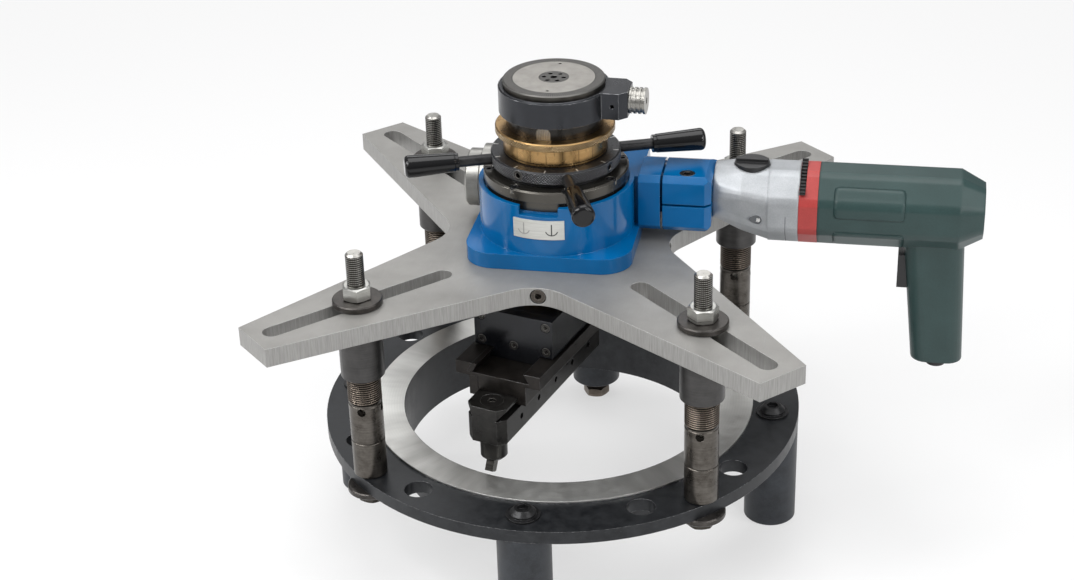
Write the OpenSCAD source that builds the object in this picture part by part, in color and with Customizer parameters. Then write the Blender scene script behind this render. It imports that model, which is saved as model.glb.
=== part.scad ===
// Portable flange facing machine, clamped to the pipe flange that it faces.
// Frame: origin on the spindle axis at the flange's bolting face, +Z up, +X towards the motor.
// All lengths are millimetres.

/* [Flange ring] */
// Outer diameter of the flange ring
flange_od = 460; // [455:1:480]
// Thickness of the flange rim
flange_t = 12.6; // [10:0.2:20]
// Width of the rim outside the raised sealing face
rim_w = 44.2; // [42:0.1:55]
// Height of the raised sealing face
face_h = 2.4; // [1:0.1:2.6]
// Width of the flange from its bore to its outer edge
ring_w = 75.8; // [75:0.1:85]
// Wall of the neck where the pipe would be welded
neck_wall = 7.75; // [5:0.05:11]
// How much thicker the neck is at the rim
neck_flare = 8.05; // [4:0.05:12]
// Length of the neck below the rim
neck_h = 44; // [20:1:60]
// Distance from the flange holes' centres to the flange's outer edge
hole_edge = 25; // [22:0.5:28]
// Diameter of the flange holes
bolt_hole_d = 26; // [20:1:30]
// Number of flange holes
bolt_holes = 12; // [12:4:12]

/* [Stand] */
// Diameter of the stand legs
leg_d = 50; // [36:1:56]
// Height of the stand under the flange rim
leg_h = 102.4; // [60:1:160]
// How much shorter the adjustable leg is
short_leg_cut = 20; // [16:1:30]
// Diameter of the washers on the leg screws
leg_washer_d = 31; // [30:0.5:36]

/* [Columns] */
// Distance from the clamp bolts' centres to the flange's outer edge
clamp_edge = 13; // [12:0.5:22]
// Diameter of the clamp bolts
rod_d = 16; // [12:1:16]
// Diameter of the column feet and of the adjusters' grip
column_d = 31; // [31:0.5:34]
// Height of the column feet
foot_h = 37; // [20:1:60]
// Height of the adjusters' grip
grip_h = 39.2; // [24:1:60]
// Thread length that shows between the grip and the cap
thread_show = 28; // [16:1:50]
// Outer diameter of the adjusters' thread
thread_d = 29.6; // [26:0.2:30]
// Diameter of the column caps
cap_d = 40; // [38:1:50]
// Height of the column caps
cap_h = 54.5; // [45:0.5:80]
// Bolt length that stands above the upper nuts
rod_show = 31.4; // [10:1:60]

/* [Spider plate] */
// Thickness of the spider plate
plate_t = 17.6; // [12:0.2:25]
// Distance of the arms' ends from the axis
arm_reach = 322.4; // [300:1:360]
// Width of the arms' ends
arm_tip_w = 49.5; // [40:0.5:60]
// Angle by which each arm edge opens towards the middle
arm_flare = 9.7; // [6:0.1:11]
// Radius of the hollows between the arms
hollow_r = 40; // [25:1:50]
// Width of the slots
slot_w = 18; // [17:0.5:22]
// Distance of the slots' inner ends from the axis
slot_inner = 119.5; // [115:1:130]
// Distance from the slots' outer ends to the arms' ends
slot_edge = 11.4; // [10:0.1:32]

/* [Gear housing] */
// Radius of the round body of the gear housing
housing_r = 72; // [70:0.5:74]
// Height of the gear housing above the plate
housing_h = 62.2; // [60:0.2:72]
// Width of the base flange
base_w = 154; // [152:1:170]
// Depth of the base flange
base_d = 150; // [148:1:160]
// Thickness of the base flange
base_t = 15; // [10:0.5:20]
// Corner radius of the base flange
base_corner_r = 28; // [10:1:40]
// Height of the worm axis above the plate
worm_h = 38.4; // [36:0.2:40]
// Distance of the worm axis from the spindle axis
worm_offset = 40; // [39:0.5:42]
// Radius of the grey bearing cover
cover_r = 67.1; // [65:0.1:67.2]
// Visible height of the bearing cover
cover_h = 10.3; // [8:0.1:14]

/* [Feed head] */
// Radius of the knurled handle ring
ring_r = 59.8; // [58:0.1:64]
// Height of the handle ring
ring_h = 12.1; // [11:0.1:18]
// Reach of the handles from the axis
handle_reach = 140; // [120:1:180]
// Diameter of the handle rods
handle_rod_d = 10; // [8:0.2:10]
// Diameter of the knobs at their outer ends
knob_d = 21; // [18:0.5:26]
// Number of handles
handles = 4; // [4:1:4]
// Radius of the dial
dial_r = 48; // [47:0.2:52]
// Radius of the dial's knurled flange
dial_flange_r = 54.9; // [53:0.1:58]
// Height of the dial under its flange
dial_h = 18; // [14:0.5:24]
// Height of the dial's flange
dial_flange_h = 7.1; // [5:0.1:9]
// Radius of the quill
quill_r = 44.4; // [43.5:0.1:44.6]
// Height of the quill that shows above the dial
quill_show = 13.1; // [11:0.1:20]
// Radius of the feed collar
collar_r = 51; // [49:0.2:56]
// Height of the feed collar
collar_h = 24.8; // [20:0.2:30]
// Radius of the spindle cap
disc_r = 46.5; // [44:0.1:46.8]
// Height of the spindle cap above the collar
disc_rise = 5.1; // [3:0.1:7]

/* [Tool head] */
// Gap between the plate and the head box
head_gap = 18; // [17:0.5:24]
// Length of the head box
box_l = 194; // [180:1:210]
// Width of the head box
box_w = 80; // [76:1:84]
// Height of the head box
box_h = 38; // [34:0.5:42]
// Thickness of the cover plate
cover_t = 10; // [6:0.5:10]
// Length of the cross slide
slide_l = 190; // [170:1:200]
// Width of the cross slide
slide_w = 86; // [82:1:92]
// Thickness of the cross slide's plate
slide_t = 13.2; // [12.5:0.1:14]
// How far the cross slide stands out beyond the head box
slide_out = 33; // [10:1:34]
// Height of the block under the cross slide
block_h = 19.5; // [18:0.1:22]
// Length of the tool slide
bar_l = 204; // [180:1:220]
// Width of the tool slide
bar_w = 39.2; // [38:0.2:39.4]
// Height of the tool slide
bar_h = 36.4; // [32:0.2:40]
// How far the tool slide stands out beyond the cross slide
bar_out = 29; // [24:1:30]
// Diameter of the tool post
post_d = 25; // [24:0.5:26]
// Length of the tool post below the tool slide
post_show = 23.4; // [18:0.2:24]
// Width of the square tool bit
bit_w = 8; // [6:0.5:8]
// Slant of the tool bit from the vertical
bit_slant = 28; // [15:1:30]
// Length of the tool bit beyond the tool post, along the bit
bit_show = 12.4; // [8:0.2:13]

/* [Motor drive] */
// Distance of the motor clamp's outer end from the spindle axis
clamp_end = 143; // [138:1:150]
// Diameter of the gear case's neck
neck_fit_d = 43; // [40:0.5:43]
// Width across the flats of the gear case and motor
motor_w = 72; // [66:1:76]
// Length of the gear case beyond the clamp
case_l = 79.4; // [70:0.2:95]
// Width of the band behind the gear case
band_w = 17.2; // [12:0.2:24]
// Length of the motor housing
motor_l = 150; // [130:1:180]
// Height of the grip below the motor housing
grip_drop = 118; // [100:1:140]

/* [Hidden] */
$fn = 72;

// Clearances that the fits share
cut = 1;              // overrun of a cut past a face
run_gap = 0.1;        // radial gap of a running fit, and gap of a screw in its thread
slip = 0.3;           // gap between sliding or turning faces
bolt_gap = 0.5;       // radial gap of a bolt in its hole

// Hexagon and socket sizes
nut_af = 24;
nut_h = 13;
head_h = 10;
washer_d = 45;
washer_h = 6;
function hex_r(af) = af / 2 / cos(30);

// Diameters and radii that follow the flange's outer edge
face_od = flange_od - 2 * rim_w;
bore_d = flange_od - 2 * ring_w;
neck_d = bore_d + 2 * neck_wall;
neck_root_d = neck_d + 2 * neck_flare;
bolt_circle_d = flange_od - 2 * hole_edge;
clamp_r = flange_od / 2 - clamp_edge;

// Heights, each carried by the piece below it
face_z = face_h;
rim_z = -flange_t;
floor_z = rim_z - leg_h;
washer_z = rim_z - washer_h;
adjuster_z = foot_h + slip;
grip_top = foot_h + grip_h + slip;
cap_z = grip_top + thread_show;
plate_z = cap_z + cap_h;
plate_top = plate_z + plate_t;
nut_z = plate_top + washer_h;
rod_top = nut_z + nut_h + rod_show;
base_top = plate_top + base_t;
housing_top = plate_top + housing_h;
worm_z = plate_top + worm_h;
cover_lip = 3;
cover_z = housing_top + cover_lip;
cover_top = cover_z + cover_h;
ring_neck_h = 3.6;
ring_z = cover_top + slip + ring_neck_h;
ring_top = ring_z + ring_h;
dial_z = ring_top + slip;
dial_top = dial_z + dial_h + dial_flange_h;
quill_top = dial_top + quill_show;
collar_z = quill_top + slip;
collar_top = collar_z + collar_h;
disc_top = collar_top + disc_rise;
box_top = plate_z - head_gap;
box_z = box_top - box_h;
slide_gap = 1.3;
slide_top = box_z - slide_gap;
slide_z = slide_top - slide_t;
block_z = slide_z - block_h;

// Stand and columns
leg_screw_d = 16;
leg_screw_l = 40;
leg_washer_h = 2;
leg_head_h = 6;
leg_head_d = 24;
socket_d = 10;
socket_depth = 4;
spot_gap = 0.4;
leg_chamfer = 1;
leg_relief = 1;
nut_chamfer_share = 0.12;
tommy_d = 8;
tommy_drop = 5;
thread_depth_in_cap = 42.5;
cap_roof = 12;
cap_chamfer = 1.2;
rod_chamfer = 2;
column_angles = [for (quarter = [0 : 3]) 45 + 90 * quarter];
rod_hole_d = rod_d + 2 * bolt_gap;

// Spider plate
plate_bore_r = 55;
slot_outer = arm_reach - slot_edge;
lock_bore_d = 15;
lock_screw_d = 13;
lock_screw_l = 12;
lock_socket_d = 6;
arm_tan = tan(arm_flare);
// Where the edges of two neighbouring arms would meet, measured along one arm
meet_along = (arm_tip_w / 2 + arm_reach * arm_tan) / (1 + arm_tan);
meet_r = meet_along * sqrt(2);
hollow_half_angle = 45 + arm_flare;
hollow_centre_r = meet_r + hollow_r / sin(hollow_half_angle);
hollow_run = hollow_r / tan(hollow_half_angle);
hollow_apex_r = hollow_centre_r - hollow_r;

// Gear housing
base_shift = 2;
base_back = base_d / 2 + base_shift;
base_front = base_d - base_back;
spigot_h = 10.6;
spigot_r = plate_bore_r - run_gap;
lower_bore_r = 40;
bearing_r = 45;
bearing_id_r = 27;
bearing_h = 12;
seat_h = 7.4;
seat_z = plate_top + seat_h;
seat_step = 0.4;
bearing_rise = 2.2;
upper_bearing_top = housing_top + bearing_rise;
recess_r = 67.5;
recess_depth = 6.8;
cover_skirt_r = 64;
deck_left = 6;
deck_front = 8;
deck_round_r = 6;
notch_azimuth = -93.7;
notch_w = 36;
notch_depth = 8.4;
notch_start = sqrt(recess_r * recess_r - notch_w * notch_w / 4) - cut;
label_w = 47.6;
label_h = 18.7;
label_t = 1;
label_top_gap = 11.4;
worm_tip_r = 14;
worm_gap = 0.6;
tunnel_r = 20;
tunnel_step = 32;
boss_r = 32.5;
boss_end = 60;
cap_flange_l = 16;
cap_groove_l = 2;
cap_groove_deep = 2;
cap_nose_l = 13;
cap_nose_r = 27.5;
cover_screw_d = 8.5;
cover_screw_l = 14;
cover_screw_head = 5;
cover_screw_r = 62.3;
cover_screws_n = 8;
cover_screw_azimuth = 18;

// Worm gear
wheel_teeth = 28;
wheel_pitch_r = 28;
worm_pitch_r = worm_offset - wheel_pitch_r;
tooth_out = 1.7;
tooth_in = 2.2;
wheel_w = 20;
wheel_hub_r = bearing_id_r - run_gap;
worm_l = 32;
thread_crest = 1.6;
thread_foot = 3.8;
gap_root_share = 0.38;
gap_tip_share = 0.8;
worm_core_r = worm_pitch_r - tooth_in;
journal_r = 8;
worm_bearing_w = 12;

// Motor clamp
clamp_half = 27.5;
clamp_chamfer = 5.6;
clamp_slit = 2.3;
clamp_l = 44.5;
clamp_x = clamp_end - clamp_l;
block_end = clamp_x - clamp_slit;
clamp_front = 1;
clamp_depth = worm_offset + clamp_front;
clamp_neck_r = 24.5;
clamp_screw_d = 13;
clamp_screw_hole_d = 14.5;
clamp_screw_shank_d = 8;
clamp_screw_back = 21.5;
clamp_screw_x = clamp_x + clamp_screw_back;
clamp_screw_in = 13.5;
clamp_screw_deep = 8;
clamp_fit_r = neck_fit_d / 2;
housing_half_w = base_w / 2;

// Motor
motor_drop = 8;
motor_z = worm_z - motor_drop;
nose_r = 26;
case_x = clamp_end + slip;
case_ring_l = 28.3;
case_ring_x = case_x + case_l - case_ring_l;
case_end = case_x + case_l;
band_end = case_end + band_w;
motor_end = band_end + motor_l;
motor_corner_share = 1.045;
mid_slice = 26;
mid_share = 0.9;
seam_step = 1.2;
coupling_r = 12;
coupling_l = 42;
neck_bore_r = 13;
selector_r = 16;
selector_h = 5;
selector_bar_w = 5;
selector_bar_h = 4;
selector_back = 34;
selector_x = case_x + selector_back;
selector_seat = 3;
vent_w = 6;
vent_deep = 3;
grip_w = 42;
grip_l = 56;
grip_corner_r = 15;
grip_back = 44;
grip_x = motor_end - grip_back;
grip_toe = 8;
grip_lean = 10;
tail_r = 30;
tail_l = 22;
trigger_w = 16;
trigger_h = 34;
trigger_l = 12;
trigger_in = 9;
trigger_drop = 10;
trigger_gap = 0.2;
gland_r = 9;
gland_l = 16;
gland_bore_r = 4.2;

// Feed head
handle_azimuth = -70;
ring_chamfer = 1.4;
ring_neck_r = 55;
ring_bore_r = quill_r + run_gap;
rod_seat = 12;
knob_l = 49.5;
knob_neck_d = 16.5;
knob_collar_l = 3;
knob_round = 4;
ring_screw_d = 10;
ring_screw_l = 10;
ring_screw_socket_d = 5;
quill_gap = 2.4;
quill_bottom = upper_bearing_top + quill_gap;
quill_wall_r = 35;
quill_seat_r = 38;
spindle_bearing_h = 12;
key_w = 13;
key_deep = 4;
key_sink = 6;
key_bottom = dial_z - key_sink;
key_rise = 14.6;
spindle_r = 20;
flange_r = 50;
flange_h = 10.5;
shaft_r = 8;
cap_skirt_r = 40;
cap_step_r = 37.6;
cap_step = 0.5;
hub_r = 12.9;
hub_deep = 6;
pin_hole_d = 3;
pin_hole_r = 33;
hub_dot_d = 4.2;
hub_dot_r = 9;
collar_recess = 1.4;
collar_recess_gap = 0.7;
collar_recess_r = disc_r + collar_recess_gap;
ear_reach = 70;
ear_half = 19;
ear_azimuth = -3;
ear_chamfer = 7;
ear_blend_r = 10;
ear_slit = 2;
ear_hole_d = 4;
ear_hole_deep = 8;
ear_hole_x = 57;
collar_screw_r = 12;
collar_screw_l = 15;
collar_screw_shank_r = 5;
collar_screw_in = 16;
collar_groove = 1.2;
collar_grooves = 3;
hex_socket_af = 6;

// Tool head, in the arm's own frame: X outwards, Y across
arm_azimuth = -106;
box_half = box_l / 2;
dove_floor = 9.3;
dove_half = 31.5;
dove_lean = 5;
gib_t = 5.3;
tongue_gap = 0.6;
feed_h = 15;
feed_z = box_z + feed_h;
feed_r = 5;
feed_cavity_r = 11.8;
feed_slot_half = 8;
feed_slot_start = 18;
feed_end_wall = 5;
feed_rear_wall = 7;
gear_well_r = 19.5;
gear_well_low = 14;
gear_inner = 8;
gear_outer = 13;
gear_hub_r = 9;
gear_hub_l = 4;
bevel_teeth = 16;
nut_s = 54;
nut_l = 10;
nut_half = 7.5;
nut_rise = 8;
cover_bolt_d = 8.5;
cover_bolt_hole_d = 9.5;
cover_bolt_head = 5;
cover_bolt_l = 15;
cover_bolt_shank_d = 5;
cover_bolt_side = 33;
cover_bolt_low = 5.8;
cover_bolt_high = 30.8;
slide_front = box_half + slide_out;
block_left = 29.5;
block_right = 28;
strip_slit = 0.5;
strip_edge = 20.8;
bar_half = bar_w / 2;
bar_top_gap = 0.4;
channel_deep = 7;
bar_top = block_z + channel_deep - bar_top_gap;
bar_z = bar_top - bar_h;
lip_h = 2.6;
dove_neck = 8.5;
dove_rise = 8.8;
bar_front = slide_front + bar_out;
bar_nose = 7;
post_back = 16.5;
post_s = bar_front - post_back;
post_r = post_d / 2;
post_top_gap = 9.6;
post_chamfer = 3.5;
ring_bolt_r = 10.7;
ring_bolt_h = 5;
ring_bolt_deep = 5.4;
ring_bolt_socket_af = 7;
side_hole_d = 6;
side_hole_deep = 8;
side_hole_pitch = 35.7;
side_hole_first = 36.3;
side_hole_rise = 13.8;
side_holes = 5;
bit_in = 20;
bit_tip_share = 0.35;
gib_screw_d = 6;
gib_screw_l = 9;
gib_screw_pitch = 45;
gib_screw_drop = 5;

// Shapes that repeat
module tube(outer_r, inner_r, h) {
    difference() {
        cylinder(r = outer_r, h = h);
        translate([0, 0, -cut]) cylinder(r = inner_r, h = h + 2 * cut);
    }
}

module at_columns() {
    for (angle = column_angles) rotate([0, 0, angle]) translate([clamp_r, 0, 0]) children();
}

module arm_frame() {
    rotate([0, 0, arm_azimuth]) children();
}

// A profile drawn across the arm, with its height as second coordinate, drawn out along the arm
module along_arm(from_s, to_s) {
    translate([from_s, 0, 0]) rotate([90, 0, 90]) linear_extrude(to_s - from_s) children();
}

// A cylinder along X
module rod_x(r, l) {
    rotate([0, 90, 0]) cylinder(r = r, h = l);
}

module hex_prism(af, h) {
    cylinder(r = hex_r(af), h = h, $fn = 6);
}

// A hexagon with its corners turned round, as on a nut or a bolt's head
module hex_turned(af, h, both = true) {
    chamfer = af * nut_chamfer_share;
    intersection() {
        hex_prism(af, h);
        rotate_extrude() polygon([[0, 0], [hex_r(af) - chamfer, 0],
            [hex_r(af), chamfer / 2], [hex_r(af), h - (both ? chamfer / 2 : 0)],
            [hex_r(af) - (both ? chamfer : 0), h], [0, h]]);
    }
}

// A socket head with its hexagon hole, head upwards from z = 0
module socket_head(d, h, af, deep) {
    difference() {
        cylinder(d = d, h = h);
        translate([0, 0, h - deep]) hex_prism(af, deep + cut);
    }
}

// The flange and its stand
module flange_ring() color("#2c2f33") {
    difference() {
        union() {
            translate([0, 0, rim_z]) cylinder(d = flange_od, h = flange_t);
            cylinder(d = face_od, h = face_h);
            translate([0, 0, rim_z - neck_h]) rotate_extrude() polygon([[0, 0], [neck_d / 2, 0],
                [neck_d / 2, neck_h / 3], [neck_root_d / 2, neck_h + cut], [0, neck_h + cut]]);
        }
        translate([0, 0, rim_z - neck_h - cut])
            cylinder(d = bore_d, h = neck_h + flange_t + face_h + 2 * cut);
        for (hole = [0 : bolt_holes - 1]) rotate([0, 0, 360 / bolt_holes * hole])
            translate([bolt_circle_d / 2, 0, rim_z - cut])
                cylinder(d = bolt_hole_d, h = flange_t + 2 * cut);
        at_columns() translate([0, 0, rim_z - cut]) cylinder(d = rod_hole_d, h = flange_t + 2 * cut);
    }
}

module stand_leg(h) {
    translate([0, 0, -h]) difference() {
        rotate_extrude() polygon([[0, 0], [leg_d / 2 - leg_chamfer, 0], [leg_d / 2, leg_chamfer],
            [leg_d / 2, h], [0, h]]);
        translate([0, 0, h - leg_screw_l]) cylinder(d = leg_screw_d + 2 * run_gap, h = leg_screw_l + cut);
        translate([0, 0, -cut]) cylinder(d = rod_d + 2 * run_gap, h = short_leg_cut + head_h + cut);
    }
}

module stand_legs() color("#33383d") {
    difference() {
        for (quarter = [0 : 3]) rotate([0, 0, 90 * quarter]) translate([bolt_circle_d / 2, 0, rim_z])
            stand_leg(leg_h - (quarter == 1 ? short_leg_cut : 0));
        translate([0, 0, rim_z - neck_h - leg_relief])
            cylinder(d = neck_root_d + 2 * leg_relief, h = neck_h + leg_relief + cut);
    }
}

module levelling_bolt() color("#3a3430") {
    translate([0, bolt_circle_d / 2, floor_z]) {
        hex_turned(nut_af, head_h);
        translate([0, 0, head_h]) cylinder(d = rod_d, h = short_leg_cut + head_h / 2);
    }
}

module leg_screws() color("#1d1e20") {
    for (quarter = [0 : 3]) rotate([0, 0, 90 * quarter]) translate([bolt_circle_d / 2, 0, 0]) {
        cylinder(d = leg_washer_d, h = leg_washer_h);
        translate([0, 0, leg_washer_h]) difference() {
            rotate_extrude() polygon([[0, 0], [leg_head_d / 2, 0], [leg_head_d / 2, leg_head_h / 3],
                [leg_head_d / 3, leg_head_h], [0, leg_head_h]]);
            translate([0, 0, leg_head_h - socket_depth]) hex_prism(socket_d, socket_depth + cut);
        }
        translate([0, 0, rim_z - leg_screw_l * 3 / 4])
            cylinder(d = leg_screw_d, h = leg_screw_l * 3 / 4 + flange_t + leg_washer_h);
    }
}

module clamp_bolts() color("#b9bcb6") {
    at_columns() {
        translate([0, 0, washer_z - head_h]) hex_turned(nut_af, head_h);
        translate([0, 0, washer_z]) rotate_extrude() polygon([[0, 0], [rod_d / 2, 0],
            [rod_d / 2, rod_top - washer_z - rod_chamfer],
            [rod_d / 2 - rod_chamfer, rod_top - washer_z], [0, rod_top - washer_z]]);
    }
}

module washer() {
    edge = washer_h / 6;
    rotate_extrude() polygon([[rod_hole_d / 2, 0], [washer_d / 2 - edge, 0], [washer_d / 2, edge],
        [washer_d / 2, washer_h - edge], [washer_d / 2 - edge, washer_h], [rod_hole_d / 2, washer_h]]);
}

module lower_washers() color("#4a4540") {
    at_columns() translate([0, 0, washer_z]) washer();
}

module upper_washers() color("#34312e") {
    at_columns() translate([0, 0, plate_top]) washer();
}

module upper_nuts() color("#c0c3bc") {
    at_columns() translate([0, 0, nut_z]) difference() {
        hex_turned(nut_af, nut_h);
        translate([0, 0, -cut]) cylinder(d = rod_d + 2 * run_gap, h = nut_h + 2 * cut);
    }
}

// The columns: a foot, a threaded adjuster that turns on it, and a cap under the plate
module column_feet() color("#5d564e") {
    at_columns() rotate_extrude() polygon([[rod_hole_d / 2, 0], [column_d / 2 - cap_chamfer, 0],
        [column_d / 2, cap_chamfer], [column_d / 2, foot_h - cap_chamfer / 2],
        [column_d / 2 - cap_chamfer / 2, foot_h], [rod_hole_d / 2, foot_h]]);
}

module adjuster(quarter) color("#4b4742") {
    rotate([0, 0, column_angles[quarter]]) translate([clamp_r, 0, adjuster_z]) difference() {
        union() {
            rotate_extrude() polygon([[0, 0], [column_d / 2 - cap_chamfer / 2, 0],
                [column_d / 2, cap_chamfer / 2], [column_d / 2, grip_h - cap_chamfer],
                [column_d / 2 - cap_chamfer, grip_h], [0, grip_h]]);
            cylinder(d = thread_d, h = grip_h + thread_show + thread_depth_in_cap - cap_roof);
        }
        translate([0, 0, -cut])
            cylinder(d = rod_hole_d, h = grip_h + thread_show + thread_depth_in_cap + 2 * cut);
        for (turn = [0 : 1]) rotate([0, 90, 45 + 90 * turn]) translate([tommy_drop - grip_h, 0, -column_d])
            cylinder(d = tommy_d, h = 2 * column_d);
    }
}

module adjuster_front_left() adjuster(2);
module adjuster_front_right() adjuster(3);
module adjuster_rear_right() adjuster(0);
module adjuster_rear_left() adjuster(1);

module column_caps() color("#3f3d3b") {
    at_columns() translate([0, 0, cap_z]) difference() {
        rotate_extrude() polygon([[0, 0], [cap_d / 2 - cap_chamfer, 0], [cap_d / 2, cap_chamfer],
            [cap_d / 2, cap_h - cap_chamfer], [cap_d / 2 - cap_chamfer, cap_h], [0, cap_h]]);
        translate([0, 0, -cut]) cylinder(d = thread_d + 2 * run_gap, h = cap_h - cap_roof + cut);
        translate([0, 0, cap_h - cap_roof - cut]) cylinder(d = rod_hole_d, h = cap_roof + 2 * cut);
    }
}

// The spider plate
module arm_outline() {
    polygon([[meet_along, meet_along], [arm_reach, arm_tip_w / 2], [arm_reach, -arm_tip_w / 2],
        [meet_along, -meet_along], [0, 0]]);
}

module hollow_filler() {
    run_along = hollow_run * cos(hollow_half_angle);
    run_aside = hollow_run * sin(hollow_half_angle);
    difference() {
        polygon([[meet_r - meet_r / 2, 0], [meet_r + run_along, run_aside], [hollow_centre_r, 0],
            [meet_r + run_along, -run_aside]]);
        translate([hollow_centre_r, 0]) circle(r = hollow_r);
    }
}

module plate_outline() {
    for (angle = column_angles) rotate(angle) arm_outline();
    for (quarter = [0 : 3]) rotate(90 * quarter) hollow_filler();
}

module slot_cut() {
    translate([slot_inner + slot_w / 2, 0]) circle(d = slot_w);
    translate([slot_outer - slot_w / 2, 0]) circle(d = slot_w);
    translate([slot_inner + slot_w / 2, -slot_w / 2])
        square([slot_outer - slot_inner - slot_w, slot_w]);
}

module at_hollows() {
    for (quarter = [0 : 3]) rotate([0, 0, 90 * quarter])
        translate([hollow_apex_r, 0, plate_z + plate_t / 2]) rotate([0, 90, 0]) children();
}

module spider_plate() color("#8d8f8c") {
    difference() {
        translate([0, 0, plate_z]) linear_extrude(plate_t) difference() {
            plate_outline();
            circle(r = plate_bore_r);
            for (angle = column_angles) rotate(angle) slot_cut();
        }
        at_hollows() translate([0, 0, -lock_screw_l]) cylinder(d = lock_bore_d, h = lock_screw_l + cut);
    }
}

module lock_screws() color("#1b1c1e") {
    at_hollows() translate([0, 0, run_gap - lock_screw_l]) difference() {
        cylinder(d = lock_screw_d, h = lock_screw_l - 2 * slip);
        translate([0, 0, lock_screw_l / 2]) hex_prism(lock_socket_d, lock_screw_l);
    }
}

// The gear housing with its worm tunnel and the block that the motor clamp sits against
module base_outline() {
    translate([-base_w / 2, -base_front + base_corner_r]) square([base_w, base_d - 2 * base_corner_r]);
    translate([-base_w / 2 + base_corner_r, -base_front]) square([base_w - 2 * base_corner_r, base_d]);
    for (side = [-1, 1]) {
        translate([side * (base_w / 2 - base_corner_r), -base_front + base_corner_r])
            circle(r = base_corner_r);
        translate([side * (base_w / 2 - base_corner_r), base_back - base_corner_r])
            circle(r = base_corner_r);
    }
}

// Section of the clamp block across the worm axis: flat at the front, round behind
module clamp_section() {
    flat = clamp_half - clamp_chamfer;
    circle(r = clamp_half);
    polygon([[0, -clamp_half], [0, clamp_half], [-clamp_depth + clamp_chamfer, clamp_half],
        [-clamp_depth, flat], [-clamp_depth, -flat], [-clamp_depth + clamp_chamfer, -clamp_half]]);
}

module on_worm_axis(x) {
    translate([x, worm_offset, worm_z]) rotate([90, 0, 90]) children();
}

module gear_housing() color("#0a5fa8") {
    difference() {
        union() {
            translate([0, 0, plate_top]) linear_extrude(base_t) base_outline();
            translate([0, 0, plate_top - spigot_h]) cylinder(r = spigot_r, h = spigot_h + cut);
            translate([0, 0, plate_top]) cylinder(r = housing_r, h = housing_h);
            translate([deck_left, deck_front, plate_top])
                cube([housing_half_w - deck_left, base_back - deck_front, housing_h]);
            on_worm_axis(-boss_end) linear_extrude(boss_end) circle(r = boss_r);
            on_worm_axis(housing_half_w - cut) linear_extrude(block_end - housing_half_w + cut)
                clamp_section();
        }
        translate([0, 0, plate_top - spigot_h - cut]) cylinder(r = lower_bore_r, h = housing_h);
        translate([0, 0, seat_z]) cylinder(r = bearing_r, h = housing_h);
        translate([0, 0, housing_top - recess_depth]) cylinder(r = recess_r, h = housing_h);
        on_worm_axis(-tunnel_step - cut) cylinder(r = worm_tip_r + worm_gap, h = 2 * tunnel_step + 2 * cut);
        on_worm_axis(tunnel_step) cylinder(r = tunnel_r, h = clamp_end);
        on_worm_axis(-boss_end - cut) cylinder(r = tunnel_r, h = boss_end - tunnel_step + cut);
        on_worm_axis(-boss_end - housing_half_w) cylinder(r = boss_r + slip, h = housing_half_w);
        rotate([0, 0, notch_azimuth]) translate([notch_start, -notch_w / 2, housing_top - notch_depth])
            cube([housing_r, notch_w, housing_h]);
    }
}

module instruction_plate() color("#c9cac4") {
    span = label_w / housing_r * 180 / PI;
    translate([0, 0, housing_top - label_top_gap - label_h])
        rotate([0, 0, notch_azimuth - span / 2]) rotate_extrude(angle = span)
            translate([housing_r, 0]) square([label_t, label_h]);
}

module at_cover_screws() {
    for (screw = [0 : cover_screws_n - 1])
        rotate([0, 0, cover_screw_azimuth + 360 / cover_screws_n * screw])
            translate([cover_screw_r, 0, cover_top]) children();
}

module bearing_cover() color("#6a6862") {
    skirt_z = housing_top - recess_depth;
    difference() {
        union() {
            translate([0, 0, skirt_z]) cylinder(r = cover_skirt_r, h = cover_z - skirt_z + cut);
            translate([0, 0, cover_z]) rotate_extrude() polygon([[0, 0], [cover_r, 0],
                [cover_r, cover_h - ring_chamfer], [cover_r - ring_chamfer, cover_h], [0, cover_h]]);
        }
        translate([0, 0, skirt_z - cut])
            cylinder(r = bearing_r, h = upper_bearing_top + seat_step - skirt_z + cut);
        translate([0, 0, skirt_z]) cylinder(r = quill_r + run_gap, h = cover_top);
        on_worm_axis(-boss_end) cylinder(r = tunnel_r + slip, h = boss_end);
        at_cover_screws() translate([0, 0, -cover_screw_l])
            cylinder(d = cover_screw_d / 2 + 2 * run_gap, h = cover_screw_l);
        at_cover_screws() translate([0, 0, -cover_screw_head])
            cylinder(d = cover_screw_d + 2 * bolt_gap, h = cover_screw_head + cut);
    }
}

module cover_screws() color("#2a2927") {
    at_cover_screws() {
        translate([0, 0, -cover_screw_head])
            socket_head(cover_screw_d, cover_screw_head - slip, cover_screw_d / 2, cover_screw_head / 2);
        translate([0, 0, -cover_screw_l]) cylinder(d = cover_screw_d / 2, h = cover_screw_l - cover_screw_head);
    }
}

// A ball bearing as its two races, joined by the shield between them
module bearing(outer_r, inner_r, h) {
    race = (outer_r - inner_r) / 4;
    shield = h / 8;
    rotate_extrude() polygon([[inner_r, 0], [inner_r + race, 0], [inner_r + race, shield],
        [outer_r - race, shield], [outer_r - race, 0], [outer_r, 0], [outer_r, h], [outer_r - race, h],
        [outer_r - race, h - shield], [inner_r + race, h - shield], [inner_r + race, h], [inner_r, h]]);
}

module main_bearings() color("#a9abad") {
    translate([0, 0, seat_z]) bearing(bearing_r, bearing_id_r, bearing_h);
    translate([0, 0, upper_bearing_top - bearing_h]) bearing(bearing_r, bearing_id_r, bearing_h);
}

module lower_bush() color("#9a7b45") {
    translate([0, 0, plate_top - spigot_h]) tube(lower_bore_r, spindle_r + run_gap,
        seat_z - plate_top + spigot_h - slip);
}

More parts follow.
